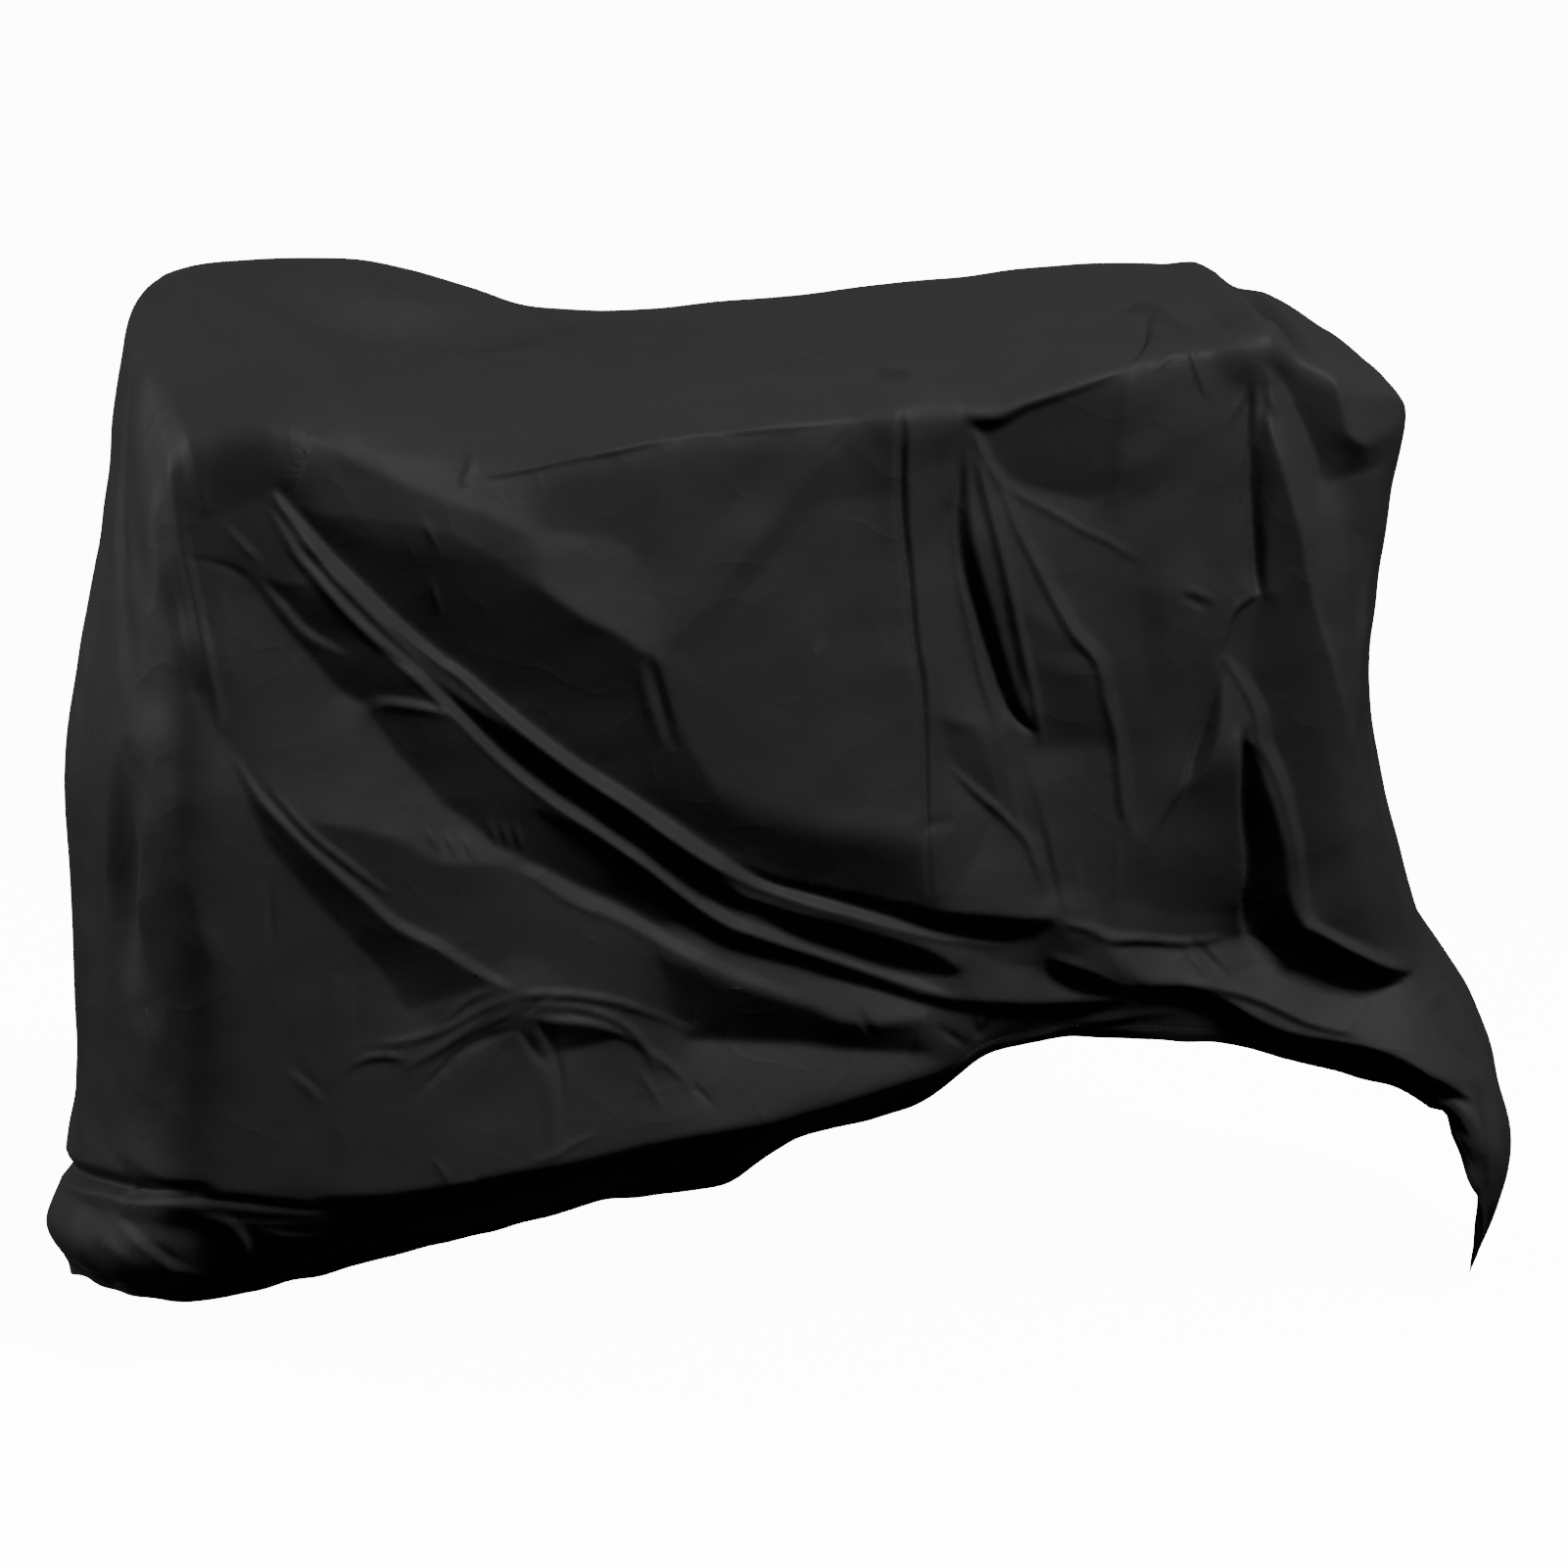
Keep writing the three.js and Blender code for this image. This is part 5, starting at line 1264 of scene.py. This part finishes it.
# %% [markdown]
# ## Small unevenness, and the hem
#
# No real cloth is as even as these tables. A noise texture could shake it, but a sum of waves
# that run in random directions is as quick and shows what it does: it gives a light swell of
# a millimetre or so. Near the hem the elastic gathers the cloth into short upright waves, and
# the turned-in hem is a little thicker than the cloth above its seam. The random numbers have
# a fixed seed, so that every run draws the same cloth.

# %% Waves in random directions
SWELL = {"seed": 11, "count": 30, "lengths": (60.0, 210.0), "height": 0.7}
GATHERS = {"seed": 5, "count": 16, "lengths": (34.0, 90.0), "height": 0.9}


def waves(points, seed, count, lengths, height):
    chance = np.random.default_rng(seed)
    towards = chance.normal(size=(count, 3))
    towards /= np.linalg.norm(towards, axis=1, keepdims=True)
    towards *= 2 * np.pi / chance.uniform(*lengths, (count, 1))
    together = np.sin(points @ towards.T + chance.uniform(0, 2 * np.pi, count))
    return height * together.sum(axis=1) / (count / 2) ** 0.5


print("the swell spreads by", round(float(waves(hood[::97], **SWELL).std()), 2), "mm")

# %% Lift the cloth, thicken its hem, and add the near side's relief
GATHERED_FALL = 0.925
HEM_WIDTH, HEM_STEP, HEM_SOFTNESS = 20.0, 0.9, 2.0
WALL_DROP = 960.0
NEAR_FADE = (80.0, 235.0)

fall = (np.abs(places).max(axis=1) - TOP_SHARE) / (1 - TOP_SHARE)
seam_fall = 1 - HEM_WIDTH / WALL_DROP
lift = (
    lifted(hood, hood_outward, FOLDS)
    + WRINKLE_SHARE * lifted(hood, hood_outward, wrinkles())
    + propped(hood, PEAKS)
    + sloped(hood, SLOPES)
    + waves(hood, **SWELL)
    + waves(hood * (1, 1, 0), **GATHERS) * smooth(GATHERED_FALL, 1, fall)
    + HEM_STEP * smooth(seam_fall, seam_fall + HEM_SOFTNESS / WALL_DROP, fall)
)
folded = hood + hood_outward * lift[:, None]
folded[:, 1] -= read_grid(relief, hood) * smooth(*NEAR_FADE, -hood[:, 1])
print("the cloth is lifted by", round(float(lift.min())), "to", round(float(lift.max())), "mm")

# %% [markdown]
# ## From millimetres to the model's frame
#
# The tables have their own origin. The shift to the model's frame could be typed in, but the
# packed solid says where the cover stands, so the drawn cloth is moved until the middle and the
# foot of its box agree with the solid's.

# %% Place the cloth on its solid
low, high = (np.array(corner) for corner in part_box("cover_cloth"))
drawn_low, drawn_high = folded.min(0) * MM, folded.max(0) * MM
shift = (low + high - drawn_low - drawn_high) / 2
shift[2] = low[2] - drawn_low[2]
print("shift in mm:", (shift / MM).round(1))
print("box differs by", ((drawn_high - drawn_low - high + low) / MM).round(1), "mm")

# %% [markdown]
# ## From the net to one mesh
#
# The cloth's own map is the flat sheet that it was cut from, in metres, so a weave that follows
# the map keeps its size on every face. A net this fine has nearly six times the triangles that
# the cloth needs. A coarser net would blunt its creases, so Decimate merges triangles where the
# cloth is flat and keeps them where it turns.

# %% Make the mesh, map it and thin it
FLAT_SIZE = (4.04, 2.95)
TRIANGLES_KEPT = 180_000


def plain_mesh(piece):
    shaped = piece.evaluated_get(bpy.context.evaluated_depsgraph_get())
    return bpy.data.meshes.new_from_object(shaped)


def cloth_object(name, points, squares):
    mesh = bpy.data.meshes.new(name)
    mesh.from_pydata((points * MM + shift).tolist(), [], squares.tolist())
    mesh.polygons.foreach_set("use_smooth", np.ones(len(mesh.polygons), bool))
    flat = places * np.array(FLAT_SIZE) / 2
    mesh.uv_layers.new(name="cut").data.foreach_set("uv", flat[squares.ravel()].ravel())
    made = new_object(name, mesh)
    thin = made.modifiers.new("thin", "DECIMATE")
    thin.ratio = min(1.0, TRIANGLES_KEPT / (2 * len(squares)))
    thinned = plain_mesh(made)
    made.modifiers.clear()
    made.data = thinned
    return made


cover = cloth_object("cover", folded, squares)
print("the cover has", sum(len(face.vertices) - 2 for face in cover.data.polygons), "triangles")

# %% [markdown]
# ## The stitches of the hem
#
# The hem is sewn down by one row of stitches that runs right round the opening. Its path is the
# ring of places that lie one hem's width above the edge, so it follows every gather. A loop in
# Python could set a bead at each step, but Geometry Nodes do it with a handful of nodes and no
# loop, and the same tree would sew any other seam.

# %% The seam's path on the cloth
THREAD_PROUD = 0.3


def seam_path():
    reach = mix(TOP_SHARE, 1, 1 - round(HEM_WIDTH / WALL_DROP * DOWN) / DOWN)
    ring_of = np.flatnonzero(abs(np.abs(places).max(axis=1) - reach) * WELD_STEPS < 1)
    ring_of = ring_of[np.argsort(np.arctan2(places[ring_of, 1], places[ring_of, 0]))]
    return (folded[ring_of] + THREAD_PROUD * outward_of(folded, squares)[ring_of]) * MM + shift


def closed_curve(name, points):
    data = bpy.data.curves.new(name, "CURVE")
    data.dimensions = "3D"
    line = data.splines.new("POLY")
    line.points.add(len(points) - 1)
    line.points.foreach_set("co", np.hstack([points, np.ones((len(points), 1))]).ravel())
    line.use_cyclic_u = True
    return new_object(name, data)


seam = seam_path()
around = np.linalg.norm(np.diff(seam, axis=0, append=seam[:1]), axis=1).sum()
print("the seam is", round(float(around), 2), "m long")

# %% A tree that sets stitches along a curve
STITCH = {"Spacing": 0.007, "Length": 0.0048, "Thickness": 0.0009}
BEAD_SIDES, BEAD_RINGS, BEAD_RADIUS = 6, 4, 0.5


def stitch_tree():
    tree = bpy.data.node_groups.new("stitches along a seam", "GeometryNodeTree")
    kinds = {"Geometry": "Geometry", **dict.fromkeys(STITCH, "Float"), "Thread": "Material"}
    for name, kind in kinds.items():
        tree.interface.new_socket(name, in_out="INPUT", socket_type="NodeSocket" + kind)
    tree.interface.new_socket("Geometry", in_out="OUTPUT", socket_type="NodeSocketGeometry")
    start = Socket(tree)
    path, spacing, length, thickness, thread = (
        start.node("NodeGroupInput", output=name) for name in kinds
    )
    steps = start.node("GeometryNodeResampleCurve", {"mode": "LENGTH"}, Curve=path, Length=spacing)
    ahead = start.node("GeometryNodeInputTangent")
    along = start.node("FunctionNodeAlignRotationToVector", {"axis": "Z"}, Vector=ahead)
    size = start.node("ShaderNodeCombineXYZ", X=thickness, Y=thickness, Z=length)
    bead = start.node(
        "GeometryNodeMeshUVSphere", Segments=BEAD_SIDES, Rings=BEAD_RINGS, Radius=BEAD_RADIUS
    )
    sewn = start.node(
        "GeometryNodeInstanceOnPoints", Points=steps, Instance=bead, Rotation=along, Scale=size
    )
    real = start.node("GeometryNodeRealizeInstances", Geometry=sewn)
    threaded = start.node("GeometryNodeSetMaterial", Geometry=real, Material=thread)
    start.node("NodeGroupOutput", Geometry=threaded)
    return tree


print("a stitch:", {name: round(size / MM, 1) for name, size in STITCH.items()}, "mm")

# %% Sew the hem, with a thread whose finish follows below
def sew(name, path, thread):
    curve = closed_curve(name + " path", path)
    modifier = curve.modifiers.new("stitches", "NODES")
    modifier.node_group = stitch_tree()
    inputs = [item for item in modifier.node_group.interface.items_tree if item.in_out == "INPUT"]
    keys = {item.name: item.identifier for item in inputs}
    for label, value in {**STITCH, "Thread": thread}.items():
        modifier[keys[label]] = value
    made = new_object(name, plain_mesh(curve))
    bpy.data.objects.remove(curve)
    return made


thread = new_material("black thread")
stitches = sew("hem_stitches", seam, thread)
print("the hem has", len(stitches.data.polygons) // (BEAD_SIDES * BEAD_RINGS), "stitches")

# %% [markdown]
# ## The finish of the cloth
#
# The cloth is a coated black weave with a dull satin sheen. Three things shape its surface: a
# faint grid of stronger threads, a fine crumple, and broader creases from having been packed
# small. Dust makes it paler and duller in places. A photograph of such cloth could be wrapped
# round it, but patterns built from noise and waves need no picture and keep their real size.
# A wave node turns by 20 radians in one unit of its place, and slanting bands by 10 along each
# axis, so a wave's scale is worked out from the spacing that the threads should have.

# %% What both finishes are made of
SHEEN = 0.06
WAVE_RADIANS, SLANT_RADIANS = 20, 10 * 3**0.5
MIDDLE = 0.5


def coordinates(material, kind):
    return Socket(material.node_tree).node("ShaderNodeTexCoord", output=kind)


def cloud(place, per_metre, detail, distortion=0.0):
    return place.node(
        "ShaderNodeTexNoise", Vector=place, Scale=per_metre, Detail=detail, Distortion=distortion
    )


def ridges(place, sharpness, **pattern):
    return 1 - abs(cloud(place, **pattern) - MIDDLE) * sharpness


def ribs(place, way, scale):
    return place.node("ShaderNodeTexWave", {"bands_direction": way}, Vector=place, Scale=scale)


def painted(material, share, colours, dullness, height):
    inputs = material.node_tree.nodes["Principled BSDF"].inputs
    share.node(
        "ShaderNodeMix", {"data_type": "RGBA"}, "Result_Color",
        Factor_Float=share, A_Color=colours[0], B_Color=colours[1],
    ).into(inputs["Base Color"])
    (share * (dullness[1] - dullness[0]) + dullness[0]).into(inputs["Roughness"])
    share.node("ShaderNodeBump", Height=height, Distance=1.0, Strength=1.0).into(inputs["Normal"])
    inputs["Specular IOR Level"].default_value = SHEEN


print("a wave of scale 1 comes back every", round(2 * np.pi / WAVE_RADIANS, 2), "m")

# %% The black cloth: ribs, crumple, creases, dullness and dust
CLOTH_COLOURS = ((0.0119, 0.0119, 0.0123, 1.0), (0.0150, 0.0150, 0.0153, 1.0))
CLOTH_DULLNESS = (0.54, 0.66)
RIB_SCALE, RIB_HEIGHT = 45.0, 0.00002
CRUMPLE = {"sharpness": 4, "per_metre": 26.0, "detail": 3.0, "distortion": 0.6}
CREASES = {"sharpness": 5, "per_metre": 11.0, "detail": 1.5, "distortion": 0.3}
CRUMPLE_HEIGHT, CREASE_HEIGHT, CREASE_THINNESS = 0.00016, 0.0004, 3
DUST = {"per_metre": 5.0, "detail": 4.0}


def black_cloth(material):
    flat, place = coordinates(material, "UV"), coordinates(material, "Object")
    grid = ribs(flat, "X", RIB_SCALE) * ribs(flat, "Y", RIB_SCALE)
    crumple = ridges(place, **CRUMPLE)
    crease = ridges(place, **CREASES) ** CREASE_THINNESS
    height = grid * RIB_HEIGHT + crumple * CRUMPLE_HEIGHT + crease * CREASE_HEIGHT
    painted(material, cloud(place, **DUST), CLOTH_COLOURS, CLOTH_DULLNESS, height)


cloth = new_material("black cloth")
black_cloth(cloth)
cover.data.materials.append(cloth)
print("black cloth:", len(cloth.node_tree.nodes), "nodes")
print("a rib every", round(2 * np.pi / (WAVE_RADIANS * RIB_SCALE) / MM, 1), "mm")

# %% [markdown]
# ## The finish of the thread
#
# The thread is black too, a little paler than the cloth, twisted, and worn where it was rubbed.
# Modelled strands would be far too fine for a stitch of five millimetres, so a bump of slanting
# bands stands for the twist.

# %% The black thread: its twist, and where it is worn
THREAD_COLOURS = ((0.018, 0.018, 0.019, 1.0), (0.028, 0.028, 0.029, 1.0))
THREAD_DULLNESS = (0.6, 0.8)
TWIST_SCALE, TWIST_HEIGHT = 90.0, 0.00006
WEAR = {"per_metre": 40.0, "detail": 2.0}


def black_thread(material):
    place = coordinates(material, "Object")
    twist = ribs(place, "DIAGONAL", TWIST_SCALE)
    painted(material, cloud(place, **WEAR), THREAD_COLOURS, THREAD_DULLNESS, twist * TWIST_HEIGHT)


black_thread(thread)
print("black thread:", len(thread.node_tree.nodes), "nodes")
print("a twist every", round(2 * np.pi / (SLANT_RADIANS * TWIST_SCALE) / MM, 1), "mm")

# %% [markdown]
# ## Onto the body
#
# The cover and its stitches belong to the one body of the model. The drawn cloth takes the
# place of the packed solid, which is hidden.

# %% Attach the pieces to the body, and hide the packed solid
for piece in (cover, stitches):
    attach(piece, "root")
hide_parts("cover_cloth")
